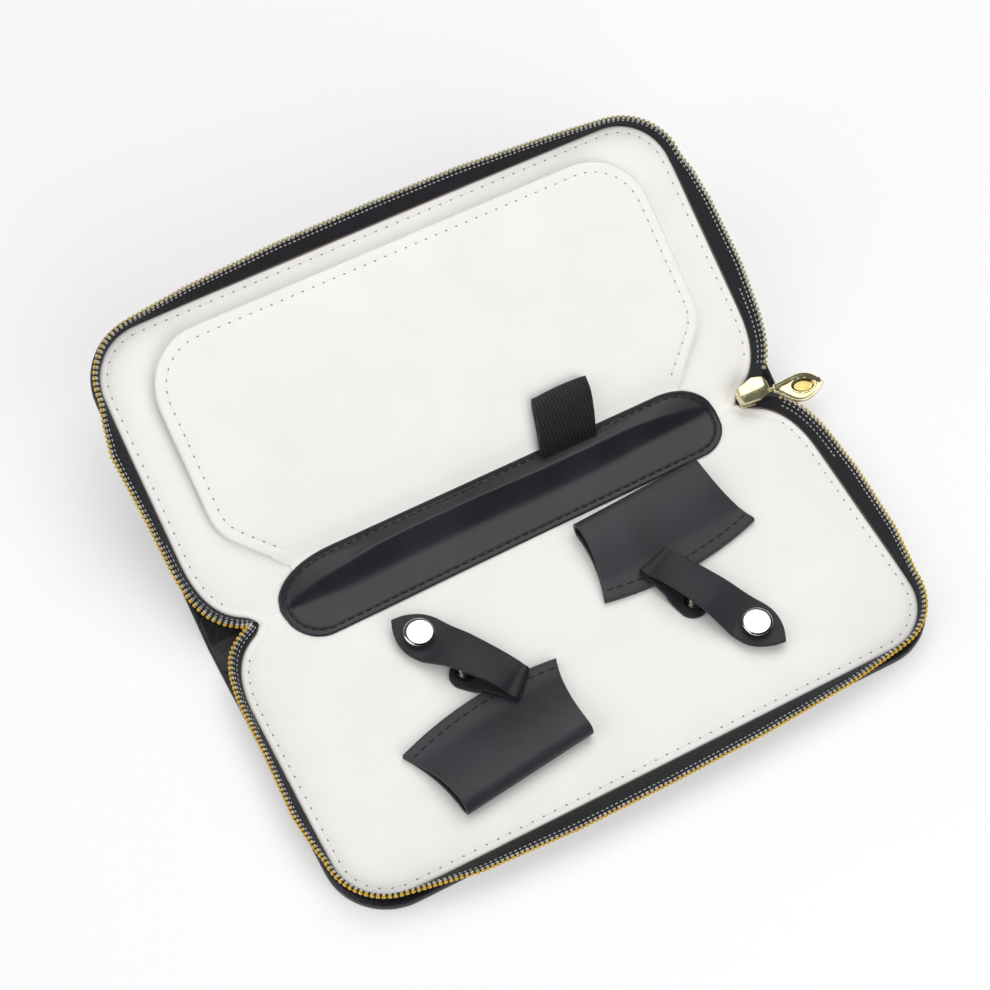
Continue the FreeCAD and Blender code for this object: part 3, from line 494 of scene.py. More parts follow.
# %% [markdown]
# ## The border that everything follows
# The lining's edge starts at the bend, swings out of the notch beside the spine, runs along the side,
# round a corner and along the front. The zip tape, the teeth, the stitches and the leather all follow
# this one line, so it is drawn once. Beside it goes the lean: how far the zip's rim stands outwards,
# much in the middle of each side and hardly at all at the corners.

# %% Draw the border

NOTCH_ROOT = 81.4
NOTCH = [(NOTCH_ROOT, -12.5), (81.6, -11.4), (82.3, -10.0), (84.0, -8.5), (86.4, -7.2), (88.9, -5.3),
         (91.3, -2.3), (93.2, 1.6), (94.4, 6.2), (95.0, 11.5), (95.0, 16.0)]
HALF_LENGTH = 95.0
SIDE_END = 66.3
FRONT = 83.3
CORNER = 17.0

SIDE_AT = [-12.5, -8, -2, 8, 28, 50, 60, 66]
FRONT_AT = [-80, -60, -30, 0, 30, 60, 80]
LEAN = {
    "upper": {"left": [0.5, 1.7, 2.3, 2.3, 2.9, 4.2, 2.4, 0.6],
              "right": [0.5, 1.7, 2.3, 2.8, 4.4, 3.8, 2.6, 1.0],
              "front": [0.6, 2.8, 4.4, 4.7, 4.4, 2.4, 0.6]},
    "lower": {"left": [0.5, 1.5, 1.7, 1.4, 1.7, 2.7, 1.7, 0.6],
              "right": [0.5, 1.7, 2.4, 3.0, 4.0, 3.2, 1.6, 0.5],
              "front": [0.6, 4.4, 6.1, 6.2, 5.6, 3.8, 0.8]},
}


def rim_lean(half, x, v):
    lean = LEAN[half]
    side = np.interp(v, SIDE_AT, lean["left" if x < 0 else "right"])
    front = np.interp(x, FRONT_AT, lean["front"])
    return side + (front - side) * ease(v, 70, 83)


def smooth_line(points, rounds=3):
    """Cuts every corner of a line of points, round after round."""
    p = np.array(points, float)
    for _ in range(rounds):
        cut = np.stack([0.75 * p[:-1] + 0.25 * p[1:], 0.25 * p[:-1] + 0.75 * p[1:]], 1).reshape(-1, 2)
        p = np.vstack([p[:1], cut, p[-1:]])
    return p


def border(step, half="lower"):
    """Points (x, v, outward x, outward v, lean) from the left bend to the right bend."""
    right = list(NOTCH)
    for t in np.linspace(0, math.pi / 2, 16):
        right.append((HALF_LENGTH - CORNER + CORNER * math.cos(t), SIDE_END + CORNER * math.sin(t)))
    points = [(-x, v) for x, v in right] + right[::-1]
    points = resample(smooth_line(points, 2), step, closed=False)
    ahead = np.gradient(points, axis=0)
    ahead /= np.linalg.norm(ahead, axis=1)[:, None]
    outward = np.stack([-ahead[:, 1], ahead[:, 0]], 1)
    lean = np.array([rim_lean(half, x, v) for x, v in points])
    return np.hstack([points, outward, lean[:, None]])


BORDER = border(1.5)
print("border points:", len(BORDER))

# %% [markdown]
# ## Thread
# One stitch is a small stretched bead. It is modelled once and set down many times along a line,
# each one lying on the surface below it. Where a needle went through pale leather, a grey dot is painted as
# the hole's shade.
# A bevelled curve would be quicker to draw, but it gives one unbroken cord and not single stitches.

# %% Stitches


def bead(length, thick, flat=0.6):
    bpy.ops.object.select_all(action="DESELECT")
    bpy.ops.mesh.primitive_uv_sphere_add(segments=7, ring_count=5, radius=0.5, rotation=(0, math.pi / 2, 0))
    bpy.ops.object.transform_apply(location=False, rotation=True, scale=False)
    bpy.ops.transform.resize(value=(length, thick, thick * flat))
    bpy.ops.object.transform_apply(location=False, rotation=False, scale=True)
    return bpy.context.active_object


def spread(name, model, places):
    """Copies of one model, set down at every place and kept as one mesh."""
    points = np.array([v.co for v in model.data.vertices])
    faces = [list(f.vertices) for f in model.data.polygons]
    all_points, all_faces = [], []
    for matrix in places:
        m = np.array(matrix)
        start = len(all_points) * len(points)
        all_points.append(points @ m[:3, :3].T + m[:3, 3])
        all_faces.extend([[i + start for i in f] for f in faces])
    piece = new_object(name, np.vstack(all_points), all_faces)
    bpy.data.objects.remove(model)
    only(piece)
    bpy.ops.object.shade_smooth()
    return piece


def axes(origin, along, up):
    x = along.normalized()
    y = up.cross(x).normalized()
    z = x.cross(y)
    return Matrix.Translation(origin) @ Matrix((x, y, z)).transposed().to_4x4()


def sew(name, cloth, line, pitch, length, thick, material, sink=0.3, gap_only=False):
    """Stitches along a line of room points, lying on the cloth."""
    tree = BVHTree.FromPolygons([v.co / MM for v in cloth.data.vertices],
                                [list(f.vertices) for f in cloth.data.polygons])
    p = resample(line, pitch, closed=False)
    places = []
    for a, b in zip(p[:-1], p[1:]):
        spot = Vector((a + b) / 2) if not gap_only else Vector(a)
        found, normal, *_ = tree.find_nearest(spot)
        places.append(axes(found - normal * thick * sink * 0.6, Vector(b - a), normal))
    return paint(spread(name, bead(length, thick), places), material)


def join(piece, *extras):
    only(piece, *extras)
    bpy.ops.object.join()
    return piece


print("stitches of 3.6 mm in a seam of 100 mm:", len(resample([(0, 0), (100, 0)], 3.6, closed=False)) - 1)

# %% [markdown]
# ## Lining
# Each half is lined with one sheet of cream leather. It lies flat, sinks a little under the stitches
# and pulls into faint creases between the notch and the end of the strip. Where the sheet crosses
# from leaf to spine it follows the bend. A plane cut to shape would have rows that cross the edge at a
# slant. Here the rows follow the edge, so the seam sinks evenly all round.

# %% Cut and sew the lining

SEAM_INSET = 2.3
SEAM_SINK = 0.22
EDGE_PUFF = 0.16
CREASE = 0.2
WAVE = 0.1
LINING_PITCH = 3.6
LINING_STITCH = (3.0, 0.36)
NEEDLE_HOLE = (0.85, 0.46)


def lining_height(x, v, d):
    height = LINING_TOP - SEAM_SINK * math.exp(-(((d - SEAM_INSET) / 0.8) ** 2)) - roll(d, 0.7)
    height += EDGE_PUFF * math.exp(-(((d - 1.3) / 0.9) ** 2))
    pull = math.exp(-(((abs(x) - 79) / 5) ** 2)) * math.exp(-(((v + 9) / 4) ** 2)) * ease(v, -HALF_SPINE, -10)
    height += CREASE * pull * math.sin(2.1 * v + 0.5 * abs(x) + (1.5 if x > 0 else 0))
    height += WAVE * math.sin(x * 0.071 + 0.6) * math.sin(v * 0.083 + 1.1) * ease(v, -HALF_SPINE, 0)
    return height


def border_line(side, offset, height, start=0, end=None):
    rows = BORDER[start:end]
    return [on_half(side, x + ox * offset, v + ov * offset, height) for x, v, ox, ov, _ in rows]


def tube(name, line, radius, material):
    points, faces = [], []
    sides = 6
    line = [Vector(p) for p in line]
    for i, p in enumerate(line):
        ahead = (line[min(i + 1, len(line) - 1)] - line[max(i - 1, 0)]).normalized()
        across = ahead.cross(Vector((0, 0, 1))).normalized()
        up = across.cross(ahead)
        for k in range(sides):
            t = 2 * math.pi * k / sides
            points.append(p + across * radius * math.cos(t) + up * radius * math.sin(t))
    for i in range(len(line) - 1):
        for k in range(sides):
            a, b = i * sides + k, i * sides + (k + 1) % sides
            faces.append([a, b, b + sides, a + sides])
    faces.append(list(range(sides))[::-1])
    faces.append([len(points) - sides + k for k in range(sides)])
    return paint(tidy_mesh(new_object(name, points, faces), 60), material)


def lining(side):
    edge = BORDER[::-1, :2]
    across = np.array([(x, -HALF_SPINE) for x in np.linspace(-NOTCH_ROOT, NOTCH_ROOT, 80)[1:-1]])
    loop = np.vstack([edge, across])
    piece = slab(f"{side}_cream_lining", loop, 1.6, [0.25, 0.6, 1.0, 1.6, 2.2, 2.8, 3.4, 4.2], lining_height,
                 lambda x, v, d: LINING_TOP - 1.4, lambda x, v, w: on_half(side, x, v, w), edge=edge)
    paint(piece, CREAM)
    line = border_line(side, -SEAM_INSET, LINING_TOP + 0.3, 9, -9)
    thread_run = sew("thread", piece, line, LINING_PITCH, *LINING_STITCH, CREAM_THREAD)
    # Grey dots in the gaps between stitches: painted shade of the needle holes.
    holes = sew("holes", piece, line, LINING_PITCH, *NEEDLE_HOLE, HOLE_SHADE, sink=0.0, gap_only=True)
    painted = tube("edge", border_line(side, 0.15, LINING_TOP - 0.05), 0.3, EDGE_PAINT)
    return join(piece, thread_run, holes, painted)


def bend_with(piece, side):
    start, end = on_half(side, 0, 3.0, 2.0) * MM, on_half(side, 0, -3.0, 2.0) * MM
    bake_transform(piece)
    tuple(start)
    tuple(end)
    return piece


for half in ("lower", "upper"):
    sheet = bend_with(lining(half), half)
    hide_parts(f"{half}_lining", *(["spine_lining"] if half == "lower" else []))
    print(sheet.name, len(sheet.data.polygons), "faces")

# %% [markdown]
# ## Zip tape
# A woven tape stands up along the border and leans outwards to its rim. It is swept along the border,
# with the lean changing from place to place, and then given its thickness. A bevelled curve could make
# such a band too, but its lean would be the same all the way. A row of pale dashes is sewn through it
# just under the teeth, and a second one beside the notches.

# %% Sweep the tape

TAPE_FOOT = 3.3
RIM_RISE = 4.5
TAPE_WIDTH = 6.5
TAPE_THICK = 0.8
DASH = (0.9, 0.45)
DASH_PITCH = 1.5
DASH_LEVEL = 0.87
SECOND_DASH_LEVEL = 0.64
SECOND_DASH_REACH = 22


def wall(side, row, t):
    """A point on the tape: t is 0 at its foot and 1 at its rim, which curls outwards."""
    x, v, ox, ov, lean = row
    out = 0.25 + lean * max(t, 0) ** 1.25 + 0.5 * (max(t - 0.7, 0) / 0.3) ** 2
    rise = RIM_RISE * (0.45 + 0.55 * ease(v, -HALF_SPINE, 0))
    return on_half(side, x + ox * out, v + ov * out, TAPE_FOOT + 0.4 + rise * t)


def tape(side):
    rows = border(1.0, side)
    heights = [-0.15, 0.0, 0.2, 0.4, 0.6, 0.7, 0.78, 0.86, 0.94, 1.0]
    points = [wall(side, row, t) for row in rows for t in heights]
    count = len(heights)
    faces, coords = [], []
    for i in range(len(rows) - 1):
        for k in range(count - 1):
            a = i * count + k
            faces.append([a, a + 1, a + count + 1, a + count])
            for di, dk in ((0, 0), (0, 1), (1, 1), (1, 0)):
                coords += [float(i + di), heights[k + dk] * TAPE_WIDTH]
    piece = new_object(f"{side}_tape", points, faces)
    piece.data.uv_layers.new(name="cloth").data.foreach_set("uv", coords)
    only(piece)
    thick = piece.modifiers.new("thickness", "SOLIDIFY")
    thick.thickness = TAPE_THICK * MM
    thick.offset = 0.0
    bpy.ops.object.modifier_apply(modifier=thick.name)
    tidy_mesh(piece, 50)
    return paint(piece, TAPE)


def dashes(side, rows, level):
    places = []
    for before, row, after in zip(rows[:-2], rows[1:-1], rows[2:]):
        x, v, ox, ov, _ = row
        along = wall(side, after, level) - wall(side, before, level)
        up = wall(side, row, level + 0.06) - wall(side, row, level - 0.06)
        inward = up.cross(along).normalized()
        if inward.dot(on_half(side, x - ox, v - ov, 0) - on_half(side, x, v, 0)) < 0:
            inward = -inward
        places.append(axes(wall(side, row, level) + inward * 0.4, along, inward))
    return paint(spread("dashes", bead(*DASH), places), WHITE_THREAD)


def near_ends(rows):
    """The rows beside the two notches, where a second line of dashes shows."""
    middle = len(rows) // 2
    return [part[part[:, 1] < SECOND_DASH_REACH] for part in (rows[:middle], rows[middle:])]


for half in ("lower", "upper"):
    band = tape(half)
    rows = border(DASH_PITCH, half)[1:-9]
    band = join(band, dashes(half, rows, DASH_LEVEL),
                *[dashes(half, part, SECOND_DASH_LEVEL) for part in near_ends(rows)])
    bend_with(band, half)
    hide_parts(f"{half}_zip_tape")
    print(band.name, len(band.data.polygons), "faces")

# %% [markdown]
# ## Teeth
# A tooth is a small clamp pinched over the tape's edge: one leg on the inside, one on the outside, and
# a nib between them that meets the other row. Each leg is a bead, modelled once and set down every
# millimetre and a half along the rim, upright on the leaning tape. The inside legs take a greyed copy
# of the gold as painted shade. The nibs and outside legs are gold, painted paler towards the far right as
# painted light.

# %% Model a tooth and repeat it

TOOTH_PITCH = 1.5
INNER_LEG = (1.2, 0.75, 0.85)
NIB = (1.25, 0.95, 1.05)
OUTER_LEG = (1.4, 0.85, 1.2)


def tooth_leg(size, shift):
    along, across, tall = size
    leg = bead(along, across, tall / across)
    leg.data.transform(Matrix.Translation(shift))
    return leg


def teeth(side, rows):
    outward = 1 if side == "upper" else -1
    places = []
    for before, row, after in zip(rows[:-2], rows[1:-1], rows[2:]):
        along = wall(side, after, 1.0) - wall(side, before, 1.0)
        up = (wall(side, row, 1.0) - wall(side, row, 0.88)).normalized()
        places.append(axes(wall(side, row, 1.0), along, up))
    inner = tooth_leg(INNER_LEG, (0, -0.36 * outward, -0.02))
    nib = tooth_leg(NIB, (0, 0.1 * outward, 0.4))
    outer = tooth_leg(OUTER_LEG, (0, 0.42 * outward, -0.05))
    # The inside legs are greyed: painted shade.
    chain = paint(spread(f"{side}_teeth", inner, places), TOOTH_SHADE_GREY)
    return join(chain, paint(spread("outside", join(nib, outer), places), TOOTH_GOLD))


for half in ("lower", "upper"):
    chain = bend_with(teeth(half, border(TOOTH_PITCH, half)[1:-8]), half)
    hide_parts(f"{half}_zip_teeth")
    print(chain.name, len(chain.data.polygons), "faces")

# %% [markdown]
# ## Outer leather
# The outside is one cover of black pebbled leather over stiff boards. Its edge is turned over and
# rises to meet the tape, except beside the spine, where it lies low and shows as a dark floor in
# each notch. It could be a box with a bevelled edge, but it is cut in the flat like the lining, so that
# both bend alike at the spine.

# %% Cover each half

COVER_HALF = 97.4
COVER_FAR = FRONT + 2.6
COVER_CORNER = 19.4
COVER_THIN = 0.7
COVER_RISE = 2.5
COVER_UNDER = -0.6


def cover_top(x, v, d):
    rise = COVER_THIN + COVER_RISE * ease(v, 1, 12)
    return rise - roll(d, 1.2) * min(rise, 1.1)


def cover_bottom(x, v, d):
    """The underside's edge is rounded as well, but hardly beside the spine, where the cover is thin."""
    return COVER_UNDER + roll(d, 1.6) * 0.8 * (0.2 + 0.8 * ease(v, 1, 12))


def cover(side):
    near, far = -HALF_SPINE, COVER_FAR
    loop = rounded([(-COVER_HALF, near), (COVER_HALF, near), (COVER_HALF, far), (-COVER_HALF, far)],
                   [0, 0, COVER_CORNER, COVER_CORNER], 1.6)
    free = loop[loop[:, 1] > near + 0.01]
    edge = np.vstack([[(COVER_HALF, near)], free, [(-COVER_HALF, near)]])
    piece = slab(f"{side}_outer_leather", loop, 2.2, [0.2, 0.5, 0.9, 1.4, 2.2], cover_top,
                 cover_bottom, lambda x, v, w: on_half(side, x, v, w), edge=edge)
    paint(piece, OUTER)
    bend_with(piece, side)
    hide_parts(f"{side}_cover", f"{side}_board", "spine_cover" if side == "lower" else "spine_filler")
    return piece


for half in ("lower", "upper"):
    print(cover(half).name)

# %% [markdown]
# ## Gussets
# Where the two tapes come together beside the spine, a small black gusset closes the corner. It sags
# between the tapes and lies just over the outer leather. The sag is small, so a height for each point
# gives it without a simulation.

# %% Make the gussets

GUSSET_PLAN = [(82.6, -1.6), (88.5, -7.2), (96.4, -10.5), (96.6, 0.0), (96.4, 10.5), (88.5, 7.2),
               (82.6, 1.6)]
GUSSET_SAG = 0.9
GUSSET_THICK = 0.5


def gusset(name, sign, node):
    loop = rounded(GUSSET_PLAN, [1.4, 6, 2, 0, 2, 6, 1.4], 0.9)

    def level(x, y):
        return 1.2 + abs(y) * math.tan(HALF_FOLD) + GUSSET_SAG * ease(96.5 - x, 0, 9)

    piece = slab(name, loop, 1.0, [0.2, 0.5, 1.0],
                 lambda x, y, d: level(x, y) + GUSSET_THICK - roll(d, GUSSET_THICK),
                 lambda x, y, d: level(x, y),
                 lambda x, y, z: MIDDLE @ Vector((sign * x, y, z)))
    paint(piece, OUTER)
    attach(piece, "spine")
    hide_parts(node)
    return piece


print(gusset("left_gusset", -1, "left_zip_end").name, gusset("right_gusset", 1, "right_zip_end").name)

# %% [markdown]
# ## Spine strip
# A strip of satin black leather is sewn over the bend. It is padded: a crest runs along it, nearer the
# upper edge, falls steeply at first and then flattens towards the near edge. Its pattern of squares has
# one row exactly on the crest, so that the highlight stays a clean line. A cloth simulation would puff
# it up evenly and lose that crest. A flat border with close stitches holds it down.

# %% Shape and sew the strip

STRIP_LENGTH = 148.0
STRIP_HALF = 12.0
STRIP_RIM = 2.2
STRIP_THICK = 0.9
CREST_ROUND = 0.3
SEAT = LINING_TOP / math.cos(HALF_FOLD)
CREST_AT = ([-74, -72, -61, -50, -40, -29, -8, 14, 32, 45, 56, 69, 74],
            [0.2, 0.7, 2.9, 4.1, 5.3, 5.7, 5.7, 5.2, 5.3, 5.6, 4.8, 2.6, 1.6])
CREST_RISE = ([-74, -66, -56, -45, 20, 40, 56, 68, 74], [0.3, 1.3, 2.5, 3.3, 3.3, 2.8, 1.8, 0.7, 0.2])


def in_frame(matrix):
    return lambda x, y, z: matrix @ Vector((x, y, z))


def strip_seat(y):
    return SEAT + abs(y) * math.tan(HALF_FOLD)


def strip_width(x):
    """Half widths below and above the middle; the ends are drawn out longer on the upper side."""
    sides = [(STRIP_HALF + np.interp(x, [-60, -20, 20, 60], [1.0, 0.4, 0.0, -0.4]), 11.2),
             (STRIP_HALF, 21.0 if x < 0 else 16.0)]
    over = [max(abs(x) - (STRIP_LENGTH / 2 - turn), 0) / turn for _, turn in sides]
    return [0.8 + (wide - 0.8) * math.sqrt(max(1 - part**2, 0)) for (wide, _), part in zip(sides, over)]


def strip_height(x, y, d):
    crest, rise = np.interp(x, *CREST_AT), np.interp(x, *CREST_RISE)
    above = rise * (1 - (y - crest) / max(strip_width(x)[1] - STRIP_RIM - crest + 0.4, 1.0))
    below = rise * max(1 - (crest - y) / (2.8 * rise), 0) ** 1.8
    softer = math.exp(-above / CREST_ROUND) + math.exp(-below / CREST_ROUND)
    puff = max(-CREST_ROUND * math.log(softer), 0) if above > 0 else 0.0
    pad = ease(d, STRIP_RIM - 0.5, STRIP_RIM + 1.3) * puff + 0.4 * ease(d, STRIP_RIM - 0.4, STRIP_RIM + 0.5)
    return SEAT + math.hypot(y, 2.0) * math.tan(HALF_FOLD) + STRIP_THICK + pad - roll(d, 0.6)


def strip_pattern():
    """Squares with a row on the crest and closer rows beside both edges."""
    half, turn = STRIP_LENGTH / 2, STRIP_HALF - 0.8
    ends = half - turn * (1 - np.linspace(0, 1, 26) ** 1.6)
    stations = np.concatenate([-ends[::-1], np.arange(-half + turn + 1, half - turn - 0.5, 1.0), ends])
    points, columns = [], 0
    for x in stations:
        below, above = strip_width(x)
        crest = min(np.interp(x, *CREST_AT), 0.62 * above)
        low = [-below + (below + crest) * t for t in 0.5 - 0.5 * np.cos(np.linspace(0, math.pi, 30))]
        high = [above - (above - crest) * t for t in 0.5 + 0.5 * np.cos(np.linspace(0, math.pi, 20))]
        columns = len(low) + len(high) - 1
        points += [(x, y) for y in low + high[1:]]
    faces = []
    for i in range(len(stations) - 1):
        for k in range(columns - 1):
            a = i * columns + k
            faces.append([a, a + columns, a + columns + 1, a + 1])
    rows = np.array(points).reshape(len(stations), columns, 2)
    loop = np.vstack([rows[:, 0], rows[-1, 1:-1], rows[::-1, -1], rows[0, -2:0:-1]])
    return np.array(points), faces, loop


strip_points, strip_faces, STRIP_LOOP = strip_pattern()
strip = slab("spine_padded_strip", STRIP_LOOP, 1, [], strip_height, lambda x, y, d: strip_seat(y) + 0.1,
             in_frame(MIDDLE), angle=75, pattern=(strip_points, strip_faces))
paint(strip, SATIN)
seam_loop = inset(resample(STRIP_LOOP, 0.9), STRIP_RIM - 0.35)
line = [MIDDLE @ Vector((x, y, strip_height(x, y, STRIP_RIM) + 0.3)) for x, y in seam_loop]
strip = join(strip, sew("thread", strip, line + line[:1], 2.9, 2.3, 0.66, BLACK_THREAD, sink=0.0))
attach(strip, "spine")
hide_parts("spine_strip")
print(strip.name, len(strip.data.polygons), "faces")

# %% [markdown]
# ## Folded leather
# A sleeve is one piece of leather folded over and sewn along its open side. The fold is drawn as a
# line seen from the end. The leather is cut flat and every point of it is then carried round that
# line. A bend modifier would stretch the leather, while this keeps its length. The straps are folded in
# the same way.

# %% Carry flat leather round a line


def fold_along(line):
    """Gives a function: distance along the line and height above it, to a point (y, z)."""
    p = np.array(line, float)
    s = np.concatenate([[0], np.cumsum(np.linalg.norm(np.diff(p, axis=0), axis=1))])

    def at(t):
        if t < 0:
            way = (p[1] - p[0]) / np.linalg.norm(p[1] - p[0])
            return p[0] + way * t
        if t > s[-1]:
            way = (p[-1] - p[-2]) / np.linalg.norm(p[-1] - p[-2])
            return p[-1] + way * (t - s[-1])
        return np.array([np.interp(t, s, p[:, 0]), np.interp(t, s, p[:, 1])])

    def carry(t, height):
        way = at(t + 0.25) - at(t - 0.25)
        way = way / np.linalg.norm(way)
        here = at(t)
        return here[0] - way[1] * height, here[1] + way[0] * height

    return carry, s[-1]


def folded_into(matrix, carry):
    return lambda x, t, height: matrix @ Vector((x, *carry(t, height)))


def two_faces(thick, radius):
    """The two sides of a sheet, with its cut edges rounded."""
    return (lambda x, t, d: -thick / 2 + roll(d, radius)), (lambda x, t, d: thick / 2 - roll(d, radius))


def place_at(x, y, z, degrees):
    return Matrix.Translation((x, y, z)) @ Matrix.Rotation(math.radians(degrees), 4, "Z")


half_turn = [(3 * math.cos(t), 3 * math.sin(t)) for t in np.linspace(0, math.pi, 40)]
print("half a turn round a rod of 6 mm takes", round(fold_along(half_turn)[1], 1), "mm of leather")

# %% [markdown]
# ## Sleeves
# Two sleeves hold pens. Each lies nearly flat: a round fold along its closed side, a long slope down
# to the seam, and ends that are drawn in between fold and seam. The seam itself is a shallow bow. A
# squashed tube would be round at both sides, so the leather is folded as the real piece was.

# %% Fold and sew the sleeves

SEAM_HALF = 26.75
WAIST_HALF = 22.5
FOLD_HALF = 21.75
SLEEVE_DEPTH = 25.8
SEAM_BOW = 3.4
SLEEVE_BULGE = 2.75
SLEEVE_BED = 0.62
SKIN = 1.2
LINING_LEVEL = 4.6
SLEEVE_PLACES = {"left": place_at(-36.8, -0.4, LINING_LEVEL, 187),
                 "right": place_at(38.0, 14.2, LINING_LEVEL, 3.5)}


def sleeve_half(depth):
    """Half the sleeve's length at a depth from the seam, drawn in between the two edges."""
    t = min(max(depth / SLEEVE_DEPTH, -0.2), 1.0)
    a, b, c = SEAM_HALF, WAIST_HALF, FOLD_HALF
    return a + t * (-3 * a + 4 * b - c) + t * t * (2 * a - 4 * b + 2 * c)


def sleeve(side):
    crest = SLEEVE_DEPTH - SLEEVE_BULGE - SKIN / 2
    section = [(0, SLEEVE_BED), (crest, SLEEVE_BED)]
    middle = SLEEVE_BED + SLEEVE_BULGE
    for t in np.radians(np.linspace(-90, 90, 15)[1:-1]):
        section.append((crest + SLEEVE_BULGE * math.cos(t), middle + SLEEVE_BULGE * math.sin(t)))
    section += [(crest, 6.1), (18.0, 5.9), (13.0, 4.9), (8.0, 3.3), (4.5, 2.1), (0, 1.82)]
    section = np.vstack([section[:2], smooth_line(section[1:], 2)[1:]])
    carry, total = fold_along(section)
    stations = np.linspace(0, total, 60)
    depths = [carry(t, 0)[0] for t in stations]
    right = [(sleeve_half(d), t) for d, t in zip(depths, stations)]
    bow = [(x, SEAM_BOW * (1 - (x / SEAM_HALF) ** 2)) for x in np.linspace(SEAM_HALF, -SEAM_HALF, 30)]
    loop = right + [(x, total + b) for x, b in bow] + [(-x, t) for x, t in right[::-1]]
    loop += [(x, -b) for x, b in bow[::-1]]
    loop = resample(loop, 0.9)
    piece = slab(f"{side}_sleeve", loop, 0.85, [0.1, 0.25, 0.6], *two_faces(SKIN, 0.25),
                 folded_into(SLEEVE_PLACES[side], carry), angle=50)
    paint(piece, CHARCOAL)
    seam = []
    for x in np.linspace(-SEAM_HALF + 1.6, SEAM_HALF - 1.6, 40):
        y = 3.0 - SEAM_BOW * (1 - (x / SEAM_HALF) ** 2)
        seam.append(SLEEVE_PLACES[side] @ Vector((x, y, 2.9)))
    piece = join(piece, sew("thread", piece, seam, 3.1, 2.5, 0.6, BLACK_THREAD, sink=0.1))
    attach(piece, "lower_leaf")
    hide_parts(f"{side}_pen_sleeve")
    return piece


for hand in ("left", "right"):
    made = sleeve(hand)
    print(made.name, len(made.data.polygons), "faces")

# %% [markdown]
# ## Straps
# Each strap starts on the lining beside its sleeve, rises over the sleeve's seam and folds back on
# itself. The long upper ply swings up to a leaf-shaped tip with a snap in it. The lower ply stays
# with the leaf and the upper ply lifts. One band with a bend in it would tear there, so they are two
# pieces that meet in the fold.

# %% Fold the straps

STRAPS = {
    "left": {"spot": (-23.7, 0.1), "tongue": 33.5, "base": 45.0, "length": 42.7},
    "right": {"spot": (30.0, 16.0), "tongue": 207.5, "base": 196.5, "length": 45.5},
}
ROOT_HALF = 5.25
HEAD_HALF = 7.25
FOOT_THICK = 1.16
BED = 2.55
FOLD_LEVEL = 4.05
FOLD_RADIUS = 0.9
TONGUE_LEVEL = 4.35
HEAD_LEVEL = 2.8
ARCH = 2.4
ARCH_TWIST = 1.1
CAP_SETBACK = 9.7


def strap_frame(hand, ply):
    x, y = STRAPS[hand]["spot"]
    return place_at(x, y, LINING_LEVEL, STRAPS[hand][ply])


def strap_base(hand):
    line = [(21.0, 0.62), (13.5, 0.62), (11.6, 1.2), (9.6, 2.9), (8.6, BED + 0.6), (0.2, BED + 0.6)]
    line = list(smooth_line(line, 2))
    for degrees in np.linspace(-90, 90, 11)[1:]:
        t = math.radians(degrees)
        line.append((-FOLD_RADIUS * math.cos(t), FOLD_LEVEL + FOLD_RADIUS * math.sin(t)))
    line.append((1.2, FOLD_LEVEL + FOLD_RADIUS))
    carry, total = fold_along(line)
    loop = rounded([(-ROOT_HALF, 0), (ROOT_HALF, 0), (ROOT_HALF, total), (-ROOT_HALF, total)],
                   [4.6, 4.6, 0, 0], 0.7)
    piece = slab(f"{hand}_strap_foot", loop, 0.7, [0.1, 0.25, 0.6], *two_faces(FOOT_THICK, 0.2),
                 folded_into(strap_frame(hand, "base"), carry), angle=50)
    # The strap leather is painted darker: painted shade.
    paint(piece, STRAP_SHADED)
    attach(piece, "lower_leaf")
    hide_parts(f"{hand}_strap_base")
    return piece


def tongue_level(hand, x, y):
    """The tongue bows up beside the fold, more at the edge that is nearer to the viewer."""
    length = STRAPS[hand]["length"]
    head = length - CAP_SETBACK - 4.5
    drop = TONGUE_LEVEL + (HEAD_LEVEL - TONGUE_LEVEL) * ease(y, 19.0, head)
    near = (-x if hand == "left" else x) / ROOT_HALF
    part = min(max((y - 1) / (head - 1), 0), 1)
    return drop + (ARCH + ARCH_TWIST * near) * math.sin(math.pi * part**0.75) * ease(y, 0.2, 2.8)


def tongue_loop(hand):
    length = STRAPS[hand]["length"]
    shoulder = length - CAP_SETBACK - 2.25
    side = [(ROOT_HALF, 0.0), (ROOT_HALF, 1.3), (5.9, 10), (6.6, shoulder - 8), (HEAD_HALF, shoulder),
            (7.0, shoulder + 3), (5.9, shoulder + 6), (3.4, shoulder + 9.4), (0.9, length - 0.6), (0, length)]
    side = smooth_line(side, 2)
    loop = [tuple(p) for p in side] + [(-x, y) for x, y in side[::-1][1:]]
    return resample(loop, 0.7)


def tongue(hand):
    loop = tongue_loop(hand)

    def cup(x, y):
        return -0.012 * x * x * ease(y, 2, 14)

    piece = slab(f"{hand}_tongue", loop, 0.75, [0.1, 0.25, 0.6, 1.2],
                 lambda x, y, d: tongue_level(hand, x, y) + SKIN + cup(x, y) - roll(d, 0.3),
                 lambda x, y, d: tongue_level(hand, x, y) + cup(x, y) + roll(d, 0.2),
                 in_frame(strap_frame(hand, "tongue")), angle=50)
    # The strap leather is painted darker: painted shade.
    paint(piece, STRAP_SHADED)
    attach(piece, f"{hand}_strap")
    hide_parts(f"{hand}_strap_tongue")
    return piece


for hand in ("left", "right"):
    print(strap_base(hand).name, tongue(hand).name)

# %% [markdown]
# ## Snaps
# The cap is a polished dome with a rolled edge. It starts as a ball, is cut in half, pressed flat and
# its open edge is turned under. The socket below the tongue and the stud on the base come from the
# frame and take a duller nickel. A ball is used because its dome is even, as a pressed cap's is.

# %% Press the caps

TO_METRES = Matrix.Diagonal((MM, MM, MM, 1))
CAP_RADIUS = 4.5
CAP_PRESS = 0.15
CAP_EDGE = 0.5
CAP_LIFT = 0.35
CAP_SHIFT = {"left": -0.5, "right": 0.5}


